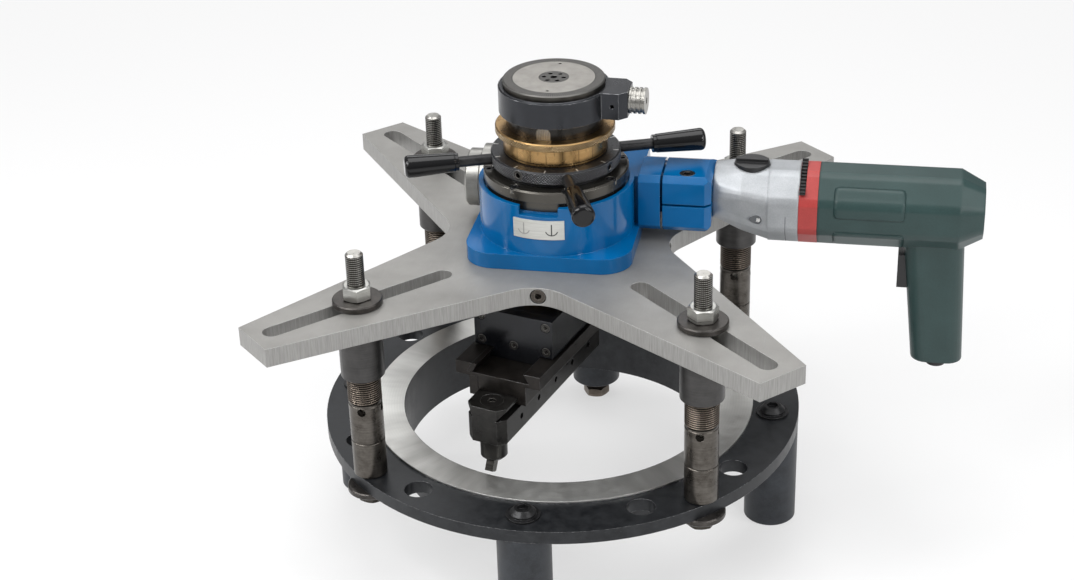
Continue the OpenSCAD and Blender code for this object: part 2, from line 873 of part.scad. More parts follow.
module worm_bearings() color("#a9abad") {
    on_worm_axis(-boss_end - worm_bearing_w / 3) bearing(tunnel_r, journal_r + run_gap, worm_bearing_w);
    on_worm_axis(housing_half_w - worm_bearing_w) bearing(tunnel_r, journal_r + run_gap, worm_bearing_w);
}

module worm_cap() color("#b5b4ae") difference() {
    nose = cap_flange_l + cap_groove_l;
    on_worm_axis(-boss_end) mirror([0, 0, 1]) difference() {
        rotate_extrude() polygon([[0, 0], [boss_r, 0], [boss_r, cap_flange_l],
            [cap_nose_r - cap_groove_deep, cap_flange_l], [cap_nose_r - cap_groove_deep, nose],
            [cap_nose_r, nose], [cap_nose_r, nose + cap_nose_l - ring_chamfer],
            [cap_nose_r - ring_chamfer, nose + cap_nose_l], [0, nose + cap_nose_l]]);
        translate([0, 0, -cut]) cylinder(r = tunnel_r, h = worm_bearing_w / 3 + slip + cut);
        cylinder(r = journal_r + 2 * slip, h = cap_flange_l);
    }
    translate([0, 0, housing_top - recess_depth]) cylinder(r = recess_r, h = housing_h);
}

// The motor clamp: a ring with a flat lug, slit from its bore to the front face
module motor_clamp() color("#0a5fa8") {
    difference() {
        union() {
            on_worm_axis(clamp_x) intersection() {
                linear_extrude(clamp_l) clamp_section();
                hull() {
                    linear_extrude(clamp_l - clamp_chamfer) clamp_envelope(0);
                    linear_extrude(clamp_l) clamp_envelope(clamp_chamfer);
                }
            }
            on_worm_axis(block_end) cylinder(r = clamp_neck_r, h = clamp_slit + cut);
        }
        on_worm_axis(block_end - cut) cylinder(r = clamp_fit_r + run_gap, h = clamp_l + clamp_slit + 2 * cut);
        translate([clamp_x - cut, worm_offset - clamp_depth - cut, worm_z - clamp_slit / 2])
            cube([clamp_l + 2 * cut, clamp_depth, clamp_slit]);
        at_clamp_screw() {
            translate([0, 0, -clamp_screw_deep]) cylinder(d = clamp_screw_hole_d, h = clamp_half);
            translate([0, 0, -2 * clamp_half])
                cylinder(d = clamp_screw_shank_d + 2 * run_gap, h = 2 * clamp_half);
        }
    }
}

module clamp_envelope(inset) {
    wide = clamp_half - inset;
    polygon([[-clamp_depth + inset, -wide], [clamp_half - inset, -wide], [clamp_half - inset, wide],
        [-clamp_depth + inset, wide]]);
}

module at_clamp_screw() {
    translate([clamp_screw_x, worm_offset - clamp_depth + clamp_screw_in, worm_z + clamp_half]) children();
}

module motor_clamp_screw() color("#4d4c49") {
    shank = 3 / 2 * clamp_half;
    at_clamp_screw() {
        translate([0, 0, -clamp_screw_deep])
            socket_head(clamp_screw_d, clamp_screw_deep - slip, clamp_screw_d / 2, clamp_screw_deep / 2);
        translate([0, 0, -clamp_screw_deep - shank]) cylinder(d = clamp_screw_shank_d, h = shank);
    }
}

// Section of the motor: an octagon whose corners are turned round
module motor_section(w) {
    intersection() {
        square([w, w], center = true);
        rotate(45) square([w, w], center = true);
        circle(r = w / 2 * motor_corner_share);
    }
}

module on_motor_axis(x) {
    translate([x, worm_offset, motor_z]) rotate([90, 0, 90]) children();
}

module gear_case() color("#b3b5b6") {
    drop = worm_z - motor_z;
    slice = selector_seat;
    difference() {
        union() {
            on_worm_axis(case_x - clamp_l + cut) cylinder(r = clamp_fit_r, h = clamp_l);
            hull() {
                on_worm_axis(case_x) cylinder(r = nose_r, h = slice, $fn = 32);
                on_worm_axis(case_x + mid_slice) translate([0, -drop * mid_share / 2, 0])
                    linear_extrude(slice) motor_section(motor_w * mid_share, $fn = 32);
                on_motor_axis(case_ring_x) linear_extrude(slice) motor_section(motor_w - seam_step, $fn = 32);
            }
            on_motor_axis(case_ring_x) linear_extrude(case_ring_l) motor_section(motor_w);
        }
        on_worm_axis(case_x - clamp_l) cylinder(r = neck_bore_r, h = clamp_l + mid_slice);
        translate([selector_x, worm_offset, selector_z]) cylinder(r = selector_r + slip, h = motor_w);
    }
}

selector_z = motor_z + motor_w / 2 - selector_seat;

module selector_knob() color("#17181a") {
    translate([selector_x, worm_offset, selector_z + slip]) {
        cylinder(r = selector_r, h = selector_h);
        intersection() {
            cylinder(r = selector_r - cut, h = selector_h + selector_bar_h);
            translate([-selector_r, -selector_bar_w / 2, selector_h - cut])
                cube([2 * selector_r, selector_bar_w, selector_bar_h]);
        }
    }
}

module motor_band() color("#b03a3c") {
    on_motor_axis(case_end) difference() {
        linear_extrude(band_w) motor_section(motor_w + slip);
        rotate(notch_tilt) translate([-motor_w / 3, motor_w / 2 - vent_deep, -cut])
            cube([motor_w * 2 / 3, motor_w, vent_w + cut]);
    }
}

notch_tilt = 22;

module grip_slice(w, l, r) {
    for (side_x = [-1, 1], side_y = [-1, 1])
        translate([side_x * (l / 2 - r), side_y * (w / 2 - r)]) circle(r = r, $fn = 24);
}

module motor_housing() color("#27463f") {
    top = motor_z - motor_w / 4;
    difference() {
        union() {
            on_motor_axis(band_end) linear_extrude(motor_l - tail_l) motor_section(motor_w);
            hull() {
                on_motor_axis(motor_end - tail_l) linear_extrude(slip) motor_section(motor_w, $fn = 32);
                on_motor_axis(motor_end - slip) linear_extrude(slip)
                    motor_section(motor_w - tail_l, $fn = 32);
            }
            hull() {
                translate([grip_x, worm_offset, top]) linear_extrude(slip)
                    grip_slice(grip_w, grip_l, grip_corner_r);
                translate([grip_x + grip_lean, worm_offset, motor_z - motor_w / 2 - grip_drop])
                    linear_extrude(slip) grip_slice(grip_w - grip_toe, grip_l - grip_toe, grip_corner_r);
            }
        }
        translate([grip_x - grip_l / 2 - trigger_gap, worm_offset - trigger_w / 2 - trigger_gap,
            trigger_z - trigger_gap])
            cube([trigger_l + trigger_in + trigger_gap, trigger_w + 2 * trigger_gap,
                trigger_h + 2 * trigger_gap]);
        translate([gland_x, worm_offset, motor_z - motor_w / 2 - grip_drop - cut])
            cylinder(r = gland_r - gland_step + run_gap, h = gland_l + cut);
    }
}

trigger_z = motor_z - motor_w / 2 - trigger_drop - trigger_h;
gland_x = grip_x + grip_lean;
gland_step = 2;

module trigger() color("#1a1b1c") {
    translate([grip_x - grip_l / 2 - trigger_l + trigger_in, worm_offset, trigger_z])
        rotate([90, 0, 0]) translate([0, 0, -trigger_w / 2]) linear_extrude(trigger_w) difference() {
            square([trigger_l, trigger_h]);
            translate([-trigger_h, trigger_h / 2]) circle(r = trigger_h + trigger_gap);
        }
}

module cable_gland() color("#141516") {
    translate([gland_x, worm_offset, motor_z - motor_w / 2 - grip_drop]) difference() {
        union() {
            translate([0, 0, -gland_l / 2]) cylinder(r = gland_r, h = gland_l / 2);
            cylinder(r = gland_r - gland_step, h = gland_l / 2);
        }
        translate([0, 0, -gland_l]) cylinder(r = gland_bore_r, h = 2 * gland_l);
    }
}

// The worm, a single right-hand thread, and its wheel
module worm_shaft() color("#8f9294") {
    shaft_start = boss_end + cap_flange_l - slip;
    on_worm_axis(-shaft_start) cylinder(r = journal_r, h = shaft_start + clamp_end - slip);
    on_worm_axis(-worm_l / 2) rotate([0, 0, -180 * worm_l / worm_pitch])
        linear_extrude(worm_l, twist = -360 * worm_l / worm_pitch,
            slices = round(thread_facets * worm_l / worm_pitch), $fn = thread_facets)
            polygon([for (step = [0 : thread_facets - 1])
                let (turn = 360 / thread_facets * step, r = thread_r(turn)) [r * cos(turn), r * sin(turn)]]);
    on_worm_axis(clamp_end - coupling_l) cylinder(r = coupling_r, h = coupling_l);
}

worm_pitch = 2 * PI * wheel_pitch_r / wheel_teeth;
worm_lead = atan(worm_pitch / (2 * PI * worm_pitch_r));
thread_facets = 18;

// Radius of the worm's section at an angle from the middle of the thread's crest
function thread_r(turn) =
    let (away = min(turn, 360 - turn) / 360 * worm_pitch,
        down = (away - thread_crest / 2) / (thread_foot / 2 - thread_crest / 2))
    worm_tip_r - slip - (worm_tip_r - slip - worm_core_r) * max(0, min(1, down));

module worm_wheel() color("#b08a4a") {
    outer = wheel_pitch_r + tooth_out - slip;
    root = wheel_pitch_r - tooth_in;
    gap_root = 360 / wheel_teeth * gap_root_share / 2;
    gap_tip = 360 / wheel_teeth * gap_tip_share / 2;
    hub_low = seat_z + seat_step;
    difference() {
        union() {
            translate([0, 0, hub_low]) cylinder(r = wheel_hub_r, h = upper_bearing_top - hub_low);
            translate([0, 0, worm_z - wheel_w / 2]) cylinder(r = outer, h = wheel_w);
        }
        translate([0, 0, seat_z - cut]) cylinder(r = spindle_r + run_gap, h = housing_h);
        for (tooth = [0 : wheel_teeth - 1]) rotate([0, 0, 90 + 360 / wheel_teeth * (tooth + 1 / 2)])
            translate([0, 0, worm_z]) rotate([-worm_lead, 0, 0]) linear_extrude(wheel_w + 2 * cut, center = true)
                polygon([[root * cos(gap_root), -root * sin(gap_root)],
                    [(outer + cut) * cos(gap_tip), -(outer + cut) * sin(gap_tip)],
                    [(outer + cut) * cos(gap_tip), (outer + cut) * sin(gap_tip)],
                    [root * cos(gap_root), root * sin(gap_root)]]);
    }
}

// The star handle that feeds the quill
module at_handles() {
    for (handle = [0 : handles - 1]) rotate([0, 0, handle_azimuth + 360 / handles * handle])
        translate([0, 0, ring_z + ring_h / 2]) rotate([0, 90, 0]) children();
}

module at_ring_screws() {
    rotate([0, 0, 180 / handles]) at_handles() children();
}

module handle_ring() color("#202123") {
    difference() {
        union() {
            translate([0, 0, cover_top + slip]) cylinder(r = ring_neck_r, h = ring_neck_h + cut);
            translate([0, 0, ring_z]) rotate_extrude() polygon([[0, 0], [ring_r - ring_chamfer, 0],
                [ring_r, ring_chamfer], [ring_r, ring_h - ring_chamfer], [ring_r - ring_chamfer, ring_h],
                [0, ring_h]]);
        }
        translate([0, 0, cover_top - cut]) cylinder(r = ring_bore_r, h = ring_top);
        at_handles() translate([0, 0, ring_r - rod_seat])
            cylinder(d = handle_rod_d * rod_seat_share + 2 * run_gap, h = rod_seat + cut);
        at_ring_screws() translate([0, 0, ring_r - ring_screw_l])
            cylinder(d = ring_screw_d, h = ring_screw_l + cut);
    }
}

rod_seat_share = 0.8;

module handle_rods() color("#2b2c2e") {
    at_handles() {
        translate([0, 0, ring_r - rod_seat]) cylinder(d = handle_rod_d * rod_seat_share, h = rod_seat + cut);
        translate([0, 0, ring_r]) cylinder(d = handle_rod_d, h = handle_reach - knob_l - ring_r + knob_l / 3);
    }
}

module handle_knobs() color("#0f1011") {
    at_handles() translate([0, 0, handle_reach - knob_l]) difference() {
        rotate_extrude() {
            polygon([[0, 0], [knob_neck_d / 2, 0], [knob_neck_d / 2, knob_collar_l],
                [knob_neck_d / 2 + cut / 2, knob_collar_l + cut], [knob_d / 2, knob_l - knob_round],
                [knob_d / 2 - knob_round, knob_l], [0, knob_l]]);
            translate([knob_d / 2 - knob_round, knob_l - knob_round]) circle(r = knob_round);
        }
        translate([0, 0, -cut]) cylinder(d = handle_rod_d, h = knob_l / 3 + cut);
    }
}

module ring_screws() color("#262729") {
    at_ring_screws() translate([0, 0, ring_r - ring_screw_l]) difference() {
        cylinder(d = ring_screw_d - 2 * run_gap, h = ring_screw_l - slip);
        translate([0, 0, ring_screw_l / 2]) hex_prism(ring_screw_socket_d, ring_screw_l);
    }
}

module dial_ring() color("#b08d4e") {
    groove = cut / 2;
    translate([0, 0, dial_z]) rotate_extrude() polygon([[ring_bore_r, 0], [dial_r - cut, 0],
        [dial_r - cut, groove], [dial_r, 2 * groove], [dial_r, dial_h - groove],
        [dial_flange_r - cut, dial_h], [dial_flange_r, dial_h + cut],
        [dial_flange_r, dial_h + dial_flange_h - cut], [dial_flange_r - cut, dial_h + dial_flange_h],
        [ring_bore_r, dial_h + dial_flange_h]]);
}

module key_slot(h, r) {
    translate([-key_deep, -key_w / 2 + (key_w / 2 - r), 0]) cube([key_deep + cut, 2 * r, h - r]);
    translate([-key_deep, 0, h - r]) rotate([0, 90, 0]) cylinder(r = r, h = key_deep + cut);
}

// The quill slides in the cover and carries the spindle's bearings
module quill() color("#2e2c2a") {
    h = quill_top - quill_bottom;
    translate([0, 0, quill_bottom]) difference() {
        cylinder(r = quill_r, h = h);
        translate([0, 0, -cut]) cylinder(r = quill_wall_r, h = h + 2 * cut);
        translate([0, 0, -cut]) cylinder(r = quill_seat_r, h = spindle_bearing_h + seat_step + cut);
        translate([0, 0, h - spindle_bearing_h - seat_step])
            cylinder(r = quill_seat_r, h = spindle_bearing_h + seat_step + cut);
        rotate([0, 0, notch_azimuth]) translate([quill_r, 0, -cut])
            key_slot(quill_top - quill_bottom - key_top_gap + cut, key_w / 2 + run_gap);
    }
}

key_top_gap = 1;

module quill_key() color("#a7a59c") {
    key_h = quill_top - key_top_gap - key_bottom;
    intersection() {
        translate([0, 0, key_bottom]) rotate([0, 0, notch_azimuth]) translate([quill_r, 0, 0])
            key_slot(key_h - run_gap, key_w / 2);
        translate([0, 0, key_bottom]) tube(quill_r, quill_r - key_deep, key_h + cut);
    }
}

module spindle_bearings() color("#a9abad") {
    for (z = [quill_bottom + seat_step, quill_top - spindle_bearing_h - seat_step])
        translate([0, 0, z]) bearing(quill_seat_r, spindle_r + run_gap, spindle_bearing_h);
}

// The spindle, its cap, and the head box that it turns
module spindle() color("#7c7d7c") {
    difference() {
        union() {
            translate([0, 0, box_top]) cylinder(r = spindle_r, h = cap_under - box_top);
            translate([0, 0, box_top]) rotate_extrude() polygon([[0, 0], [flange_r, 0],
                [flange_r, flange_h - ring_chamfer], [flange_r - ring_chamfer, flange_h], [0, flange_h]]);
        }
        translate([0, 0, box_top - cut]) cylinder(r = shaft_r + run_gap, h = disc_top);
    }
}

cap_under = disc_top - hub_deep;

module spindle_cap() color("#9b9a94") {
    skirt_z = collar_z + slip;
    disc_z = collar_top - collar_recess + slip;
    difference() {
        union() {
            translate([0, 0, skirt_z]) cylinder(r = cap_skirt_r, h = disc_z - skirt_z + cut);
            translate([0, 0, disc_z]) rotate_extrude() polygon([[0, 0], [disc_r, 0],
                [disc_r, disc_top - disc_z - cut], [disc_r - cut, disc_top - disc_z],
                [0, disc_top - disc_z]]);
        }
        translate([0, 0, skirt_z - cut]) cylinder(r = spindle_r, h = cap_under - skirt_z + cut);
        translate([0, 0, cap_under - cut]) cylinder(r = hub_r + run_gap, h = hub_deep + 2 * cut);
        for (side = [-1, 1]) translate([0, side * pin_hole_r, disc_top - hub_deep])
            cylinder(d = pin_hole_d, h = hub_deep + cut);
    }
}

module feed_shaft() color("#6f6e6a") {
    pinion_z = feed_z + gear_inner + gear_backlash;
    translate([0, 0, pinion_z]) cylinder(r = shaft_r, h = cap_under - pinion_z + cut);
    translate([0, 0, feed_z]) bevel_gear();
    translate([0, 0, cap_under + slip]) difference() {
        cylinder(r = hub_r, h = hub_deep - slip);
        translate([0, 0, hub_deep / 3]) hex_prism(hex_socket_af, hub_deep);
        for (dot = [0 : 5]) rotate([0, 0, 60 * dot]) translate([hub_dot_r, 0, hub_deep / 2])
            cylinder(d = hub_dot_d, h = hub_deep);
    }
}

gear_backlash = 0.4;

// A mitre gear on the Z axis, its pitch cone pointing down to the origin
module bevel_gear() {
    inner = gear_inner;
    outer = gear_outer;
    difference() {
        rotate_extrude() polygon([[0, inner + gear_backlash], [inner, inner + gear_backlash],
            [outer, outer + gear_backlash], [gear_hub_r, outer + gear_hub_l], [0, outer + gear_hub_l]]);
        for (tooth = [0 : bevel_teeth - 1]) rotate([0, 0, 360 / bevel_teeth * tooth])
            translate([inner - cut, -gear_backlash, inner - cut]) rotate([0, -45, 0])
                cube([gear_outer, 2 * gear_backlash, gear_backlash * 2]);
    }
}

module tongue_profile() {
    low = slide_top - dove_floor + tongue_gap;
    lean = dove_lean / dove_floor;
    function right_at(z) = dove_half - slip - (z - slide_top + dove_floor) * lean;
    function left_at(z) = -dove_half + gib_t + slip + (z - slide_top + dove_floor) * lean;
    polygon([[left_at(low), low], [right_at(low), low], [right_at(box_z), box_z],
        [right_at(box_z), box_z + cut], [left_at(box_z), box_z + cut], [left_at(box_z), box_z]]);
}

module head_box() color("#26282b") {
    arm_frame() difference() {
        union() {
            translate([-box_half, -box_w / 2, box_z]) cube([box_l - cover_t, box_w, box_h]);
            along_arm(-box_half, box_half - cover_t) tongue_profile();
        }
        translate([-box_half + cover_t, 0, feed_z]) rod_x(feed_r + run_gap, box_l);
        translate([-box_half + cover_t + feed_rear_wall, 0, feed_z])
            rod_x(feed_cavity_r, box_l - 2 * cover_t - feed_rear_wall - feed_end_wall);
        translate([0, 0, feed_z - gear_well_low])
            cylinder(r = gear_well_r, h = gear_well_low + gear_outer + gear_hub_l + bolt_gap);
        translate([0, 0, feed_z]) cylinder(r = shaft_r + bolt_gap, h = box_h);
        translate([feed_slot_start, -feed_slot_half, slide_top - dove_floor])
            cube([box_half - cover_t - feed_end_wall - feed_slot_start, 2 * feed_slot_half,
                feed_z - slide_top + dove_floor]);
        at_cover_bolts() translate([0, 0, -cover_bolt_l])
            cylinder(d = cover_bolt_shank_d + 2 * run_gap, h = cover_bolt_l);
    }
}

module at_cover_bolts() {
    spots = [[-cover_bolt_side, cover_bolt_low], [0, cover_bolt_low], [cover_bolt_side, cover_bolt_low],
        [-cover_bolt_side, cover_bolt_high], [cover_bolt_side, cover_bolt_high]];
    for (spot = spots) translate([box_half, spot[0], box_z + spot[1]]) rotate([0, 90, 0]) children();
}

module front_cover() color("#1f2124") {
    arm_frame() difference() {
        union() {
            translate([box_half - cover_t, -box_w / 2, box_z]) cube([cover_t, box_w, box_h]);
            along_arm(box_half - cover_t, box_half) tongue_profile();
        }
        translate([box_half - cover_t - cut, 0, feed_z]) rod_x(feed_r + run_gap, cover_t / 2 + cut);
        at_cover_bolts() {
            translate([0, 0, -cover_t - cut]) cylinder(d = cover_bolt_shank_d + 2 * run_gap, h = cover_t);
            translate([0, 0, -cover_bolt_head]) cylinder(d = cover_bolt_hole_d, h = cover_t);
        }
    }
}

module cover_bolts() color("#3a3a3a") {
    arm_frame() at_cover_bolts() {
        translate([0, 0, -cover_bolt_head])
            socket_head(cover_bolt_d, cover_bolt_head - slip, cover_bolt_d / 2, cover_bolt_head / 2);
        translate([0, 0, -cover_bolt_l]) cylinder(d = cover_bolt_shank_d, h = cover_bolt_l - cover_bolt_head);
    }
}

module feed_screw() color("#8a8b8c") {
    arm_frame() {
        translate([-box_half + cover_t + slip, 0, feed_z])
            rod_x(feed_r, box_l - 3 / 2 * cover_t - 2 * slip);
        translate([0, 0, feed_z]) rotate([0, 90, 0]) bevel_gear();
    }
}

// The feed collar with its ear and clamp screw
module feed_collar() color("#26292d") {
    rotate([0, 0, ear_azimuth]) difference() {
        union() {
            translate([0, 0, collar_z]) rotate_extrude() polygon([[0, 0], [collar_r, 0],
                [collar_r, collar_h - ring_chamfer], [collar_r - ring_chamfer, collar_h], [0, collar_h]]);
            translate([0, 0, collar_z]) linear_extrude(collar_h) polygon([[0, -ear_half],
                [ear_reach - ear_chamfer, -ear_half], [ear_reach, -ear_half + ear_chamfer],
                [ear_reach, ear_half - ear_chamfer], [ear_reach - ear_chamfer, ear_half], [0, ear_half]]);
        }
        translate([0, 0, collar_z - cut]) cylinder(r = cap_skirt_r + slip, h = collar_h + 2 * cut);
        translate([0, 0, collar_top - collar_recess]) cylinder(r = collar_recess_r, h = collar_h);
        translate([ear_reach - collar_screw_in, 0, collar_z + collar_h / 2])
            rod_x(collar_screw_shank_r + run_gap, collar_screw_in + cut);
        translate([ear_hole_x, -ear_half - cut, collar_z + collar_h / 2]) rotate([-90, 0, 0])
            cylinder(d = ear_hole_d, h = ear_hole_deep + cut);
    }
}

module collar_screw() color("#c3c2bb") {
    groove = collar_screw_l / (2 * collar_grooves + 1);
    rotate([0, 0, ear_azimuth]) translate([ear_reach, 0, collar_z + collar_h / 2]) rotate([0, 90, 0])
        difference() {
            union() {
                translate([0, 0, slip - collar_screw_in + cut])
                    cylinder(r = collar_screw_shank_r, h = collar_screw_in);
                translate([0, 0, slip]) cylinder(r = collar_screw_r, h = collar_screw_l - slip);
            }
            for (ridge = [0 : collar_grooves - 1]) translate([0, 0, groove * (2 * ridge + 1)])
                tube(collar_screw_r + cut, collar_screw_r - collar_groove, groove);
            translate([0, 0, collar_screw_l / 2]) hex_prism(hex_socket_af, collar_screw_l);
        }
}

// The cross slide: a dovetail plate above and a block with the tool slide's dovetail below
module cross_slide() color("#2b2825") {
    half = slide_w / 2;
    low = slide_top - dove_floor;
    channel = block_z + channel_deep;
    right = bar_half + slip;
    lean = dove_neck / dove_rise;
    start = slide_front - slide_l;
    arm_frame() {
        difference() {
            along_arm(start, slide_front) polygon([[-half, slide_z], [-strip_edge + strip_slit, slide_z],
                [-strip_edge + strip_slit, channel], [right, channel], [right, bar_top - lip_h],
                [right - (bar_top - lip_h - block_z) * lean, block_z], [block_right, block_z],
                [block_right, slide_z], [half, slide_z], [half, slide_top],
                [dove_half - dove_lean, slide_top], [dove_half, low], [-dove_half, low],
                [-dove_half + dove_lean, slide_top], [-half, slide_top]]);
            at_gib_screws() cylinder(d = gib_screw_d + 2 * run_gap, h = slide_w);
            translate([nut_s, 0, low - nut_foot]) cylinder(r = nut_half - slip, h = nut_foot + cut);
        }
    }
}

nut_foot = 3;

module at_gib_screws() {
    for (screw = [-1 : 2]) translate([slide_front - slide_l / 2 + (screw - 1 / 2) * gib_screw_pitch,
        -slide_w / 2 - cut, slide_top - gib_screw_drop]) rotate([-90, 0, 0])
            intersection() {
                children();
                cylinder(r = slide_w, h = slide_w / 2 - dove_half + dove_lean + cut + cut);
            }
}

module slide_gib() color("#55575a") {
    low = slide_top - dove_floor + slip;
    foot = -dove_half + slip * dove_lean / dove_floor;
    head = -dove_half + dove_lean;
    arm_frame() along_arm(slide_front - slide_l, slide_front) polygon([[foot, low], [foot + gib_t, low],
        [head + gib_t, slide_top], [head, slide_top]]);
}

module gib_screws() color("#4c4a47") {
    arm_frame() for (screw = [-1 : 2]) translate([slide_front - slide_l / 2
        + (screw - 1 / 2) * gib_screw_pitch, -slide_w / 2 + slip, slide_top - gib_screw_drop])
            rotate([-90, 0, 0]) cylinder(d = gib_screw_d, h = gib_screw_l);
}

module keep_strip() color("#2e2b28") {
    channel = block_z + channel_deep;
    left = bar_half + slip;
    lean = dove_neck / dove_rise;
    arm_frame() along_arm(slide_front - slide_l, slide_front) polygon([[-block_left, slide_z],
        [-strip_edge, slide_z], [-strip_edge, channel], [-left, channel], [-left, bar_top - lip_h],
        [-left + (bar_top - lip_h - block_z) * lean, block_z], [-block_left, block_z]]);
}

module feed_nut() color("#a8823f") {
    low = slide_top - dove_floor;
    arm_frame() difference() {
        union() {
            translate([nut_s - nut_l / 2, -nut_half, low]) cube([nut_l, 2 * nut_half, feed_z + nut_rise - low]);
            translate([nut_s, 0, low - nut_foot]) cylinder(r = nut_half - slip - run_gap, h = nut_foot + cut);
        }
        translate([nut_s - nut_l, 0, feed_z]) rod_x(feed_r + run_gap, 2 * nut_l);
    }
}

// The tool slide, with a dovetail on top and the tool post at its nose
module bar_plan() {
    polygon([[bar_front - bar_l, -bar_half], [bar_front - bar_nose, -bar_half],
        [bar_front, -bar_half + bar_nose], [bar_front, bar_half - bar_nose],
        [bar_front - bar_nose, bar_half], [bar_front - bar_l, bar_half]]);
}

module tool_slide() color("#25272a") {
    shoulder = bar_top - lip_h - dove_rise;
    arm_frame() difference() {
        intersection() {
            along_arm(bar_front - bar_l, bar_front) polygon([[-bar_half + cut, bar_z],
                [bar_half - cut, bar_z], [bar_half, bar_z + cut], [bar_half, shoulder],
                [bar_half - dove_neck, shoulder], [bar_half, shoulder + dove_rise], [bar_half, bar_top],
                [-bar_half, bar_top], [-bar_half, shoulder + dove_rise],
                [-bar_half + dove_neck, shoulder], [-bar_half, shoulder], [-bar_half, bar_z + cut]]);
            translate([0, 0, bar_z - cut]) linear_extrude(bar_h + 2 * cut) bar_plan();
        }
        translate([post_s, 0, bar_z - cut]) cylinder(r = post_r + run_gap, h = bar_h - post_top_gap + cut);
        translate([post_s, 0, bar_z]) cylinder(r = ring_bolt_r * 3 / 4, h = bar_h);
        translate([post_s, 0, bar_top - ring_bolt_deep]) cylinder(r = ring_bolt_r + slip, h = bar_h);
        for (hole = [0 : side_holes - 1])
            translate([bar_front - side_hole_first - hole * side_hole_pitch, bar_half + cut,
                bar_z + side_hole_rise]) rotate([90, 0, 0]) cylinder(d = side_hole_d, h = side_hole_deep + cut);
    }
}

module tool_post() color("#303236") {
    top = bar_top - post_top_gap - slip;
    h = top - bar_z + post_show;
    arm_frame() translate([post_s, 0, bar_z - post_show]) difference() {
        rotate_extrude() polygon([[0, 0], [post_r - post_chamfer, 0], [post_r, post_chamfer],
            [post_r, h], [0, h]]);
        translate([0, 0, h - post_r]) cylinder(r = ring_bolt_r / 2 + run_gap, h = post_r + cut);
        at_bit() translate([-bit_w / 2 - run_gap, -bit_w / 2 - run_gap, 0])
            cube([bit_w + 2 * run_gap, bit_w + 2 * run_gap, bit_in]);
        at_bit() translate([-bit_w / 2 - run_gap, -bit_w / 2 - run_gap, -bit_in])
            cube([bit_w + 2 * run_gap, bit_w + 2 * run_gap, bit_in + cut]);
    }
}

// The bit's own frame: Z up along the bit, X outwards, origin where the bit leaves the post
module at_bit() {
    translate([post_r / 4, 0, 0]) rotate([0, -bit_slant, 0]) children();
}

module tool_clamp_screw() color("#3c3d3f") {
    arm_frame() translate([post_s, 0, bar_top - ring_bolt_deep]) {
        socket_head(2 * ring_bolt_r, ring_bolt_h, ring_bolt_socket_af, ring_bolt_h * 2 / 3);
        translate([0, 0, -post_r]) cylinder(r = ring_bolt_r / 2, h = post_r);
    }
}

module tool_bit() color("#8c8a84") {
    arm_frame() translate([post_s, 0, bar_z - post_show]) at_bit() difference() {
        translate([-bit_w / 2, -bit_w / 2, -bit_show]) cube([bit_w, bit_w, bit_show + bit_in - slip]);
        translate([-bit_w, -bit_w, -bit_show]) rotate([0, bit_slant, 0])
            translate([-bit_w, 0, -bit_w]) cube([3 * bit_w, 2 * bit_w, bit_w + bit_w * bit_tip_share]);
    }
}

flange_ring();
stand_legs();
levelling_bolt();
leg_screws();
clamp_bolts();
lower_washers();
column_feet();
adjuster_front_left();
adjuster_front_right();
adjuster_rear_right();
adjuster_rear_left();
column_caps();
upper_washers();
upper_nuts();
spider_plate();
lock_screws();
gear_housing();
instruction_plate();
bearing_cover();
cover_screws();
main_bearings();
lower_bush();
worm_bearings();
worm_cap();
motor_clamp();
motor_clamp_screw();
gear_case();
motor_band();
motor_housing();
cable_gland();
selector_knob();
trigger();
worm_shaft();
worm_wheel();
handle_ring();
handle_rods();
handle_knobs();
ring_screws();
dial_ring();
quill();
quill_key();
spindle_bearings();
spindle();
spindle_cap();
head_box();
front_cover();
cover_bolts();
feed_collar();
collar_screw();
feed_shaft();
feed_screw();
cross_slide();
slide_gib();
gib_screws();
keep_strip();
feed_nut();
tool_slide();
tool_post();
tool_clamp_screw();
tool_bit();
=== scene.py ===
"""Looks for the portable flange facing machine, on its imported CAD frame. Lengths are metres."""
import math

import bmesh
import bpy
from mathutils import Matrix, Vector


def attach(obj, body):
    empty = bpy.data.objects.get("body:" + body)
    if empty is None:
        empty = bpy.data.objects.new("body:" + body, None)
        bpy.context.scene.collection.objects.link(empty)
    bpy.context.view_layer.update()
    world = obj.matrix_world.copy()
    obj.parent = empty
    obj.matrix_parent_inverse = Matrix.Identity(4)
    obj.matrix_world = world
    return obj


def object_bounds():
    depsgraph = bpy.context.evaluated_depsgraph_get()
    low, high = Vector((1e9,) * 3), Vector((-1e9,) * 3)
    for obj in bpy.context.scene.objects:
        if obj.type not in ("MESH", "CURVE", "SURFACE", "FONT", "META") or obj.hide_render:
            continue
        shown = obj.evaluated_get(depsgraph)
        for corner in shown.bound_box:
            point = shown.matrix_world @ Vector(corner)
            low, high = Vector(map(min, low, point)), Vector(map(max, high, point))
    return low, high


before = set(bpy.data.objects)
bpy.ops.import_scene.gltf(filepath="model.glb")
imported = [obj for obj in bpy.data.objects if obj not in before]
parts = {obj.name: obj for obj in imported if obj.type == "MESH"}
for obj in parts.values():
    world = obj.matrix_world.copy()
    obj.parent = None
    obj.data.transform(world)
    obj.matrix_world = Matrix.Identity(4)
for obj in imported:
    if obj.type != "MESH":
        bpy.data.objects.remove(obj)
cad_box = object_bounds()


def span(name, axis):
    """Lowest and highest place of a CAD node along x, y or z, given as 0, 1 or 2."""
    places = [vert.co[axis] for vert in parts[name].data.vertices]
    return min(places), max(places)


def radii(name):
    """Smallest and largest distance of a CAD node's corners from the machine's upright axis."""
    reaches = [math.hypot(vert.co.x, vert.co.y) for vert in parts[name].data.vertices]
    return min(reaches), max(reaches)


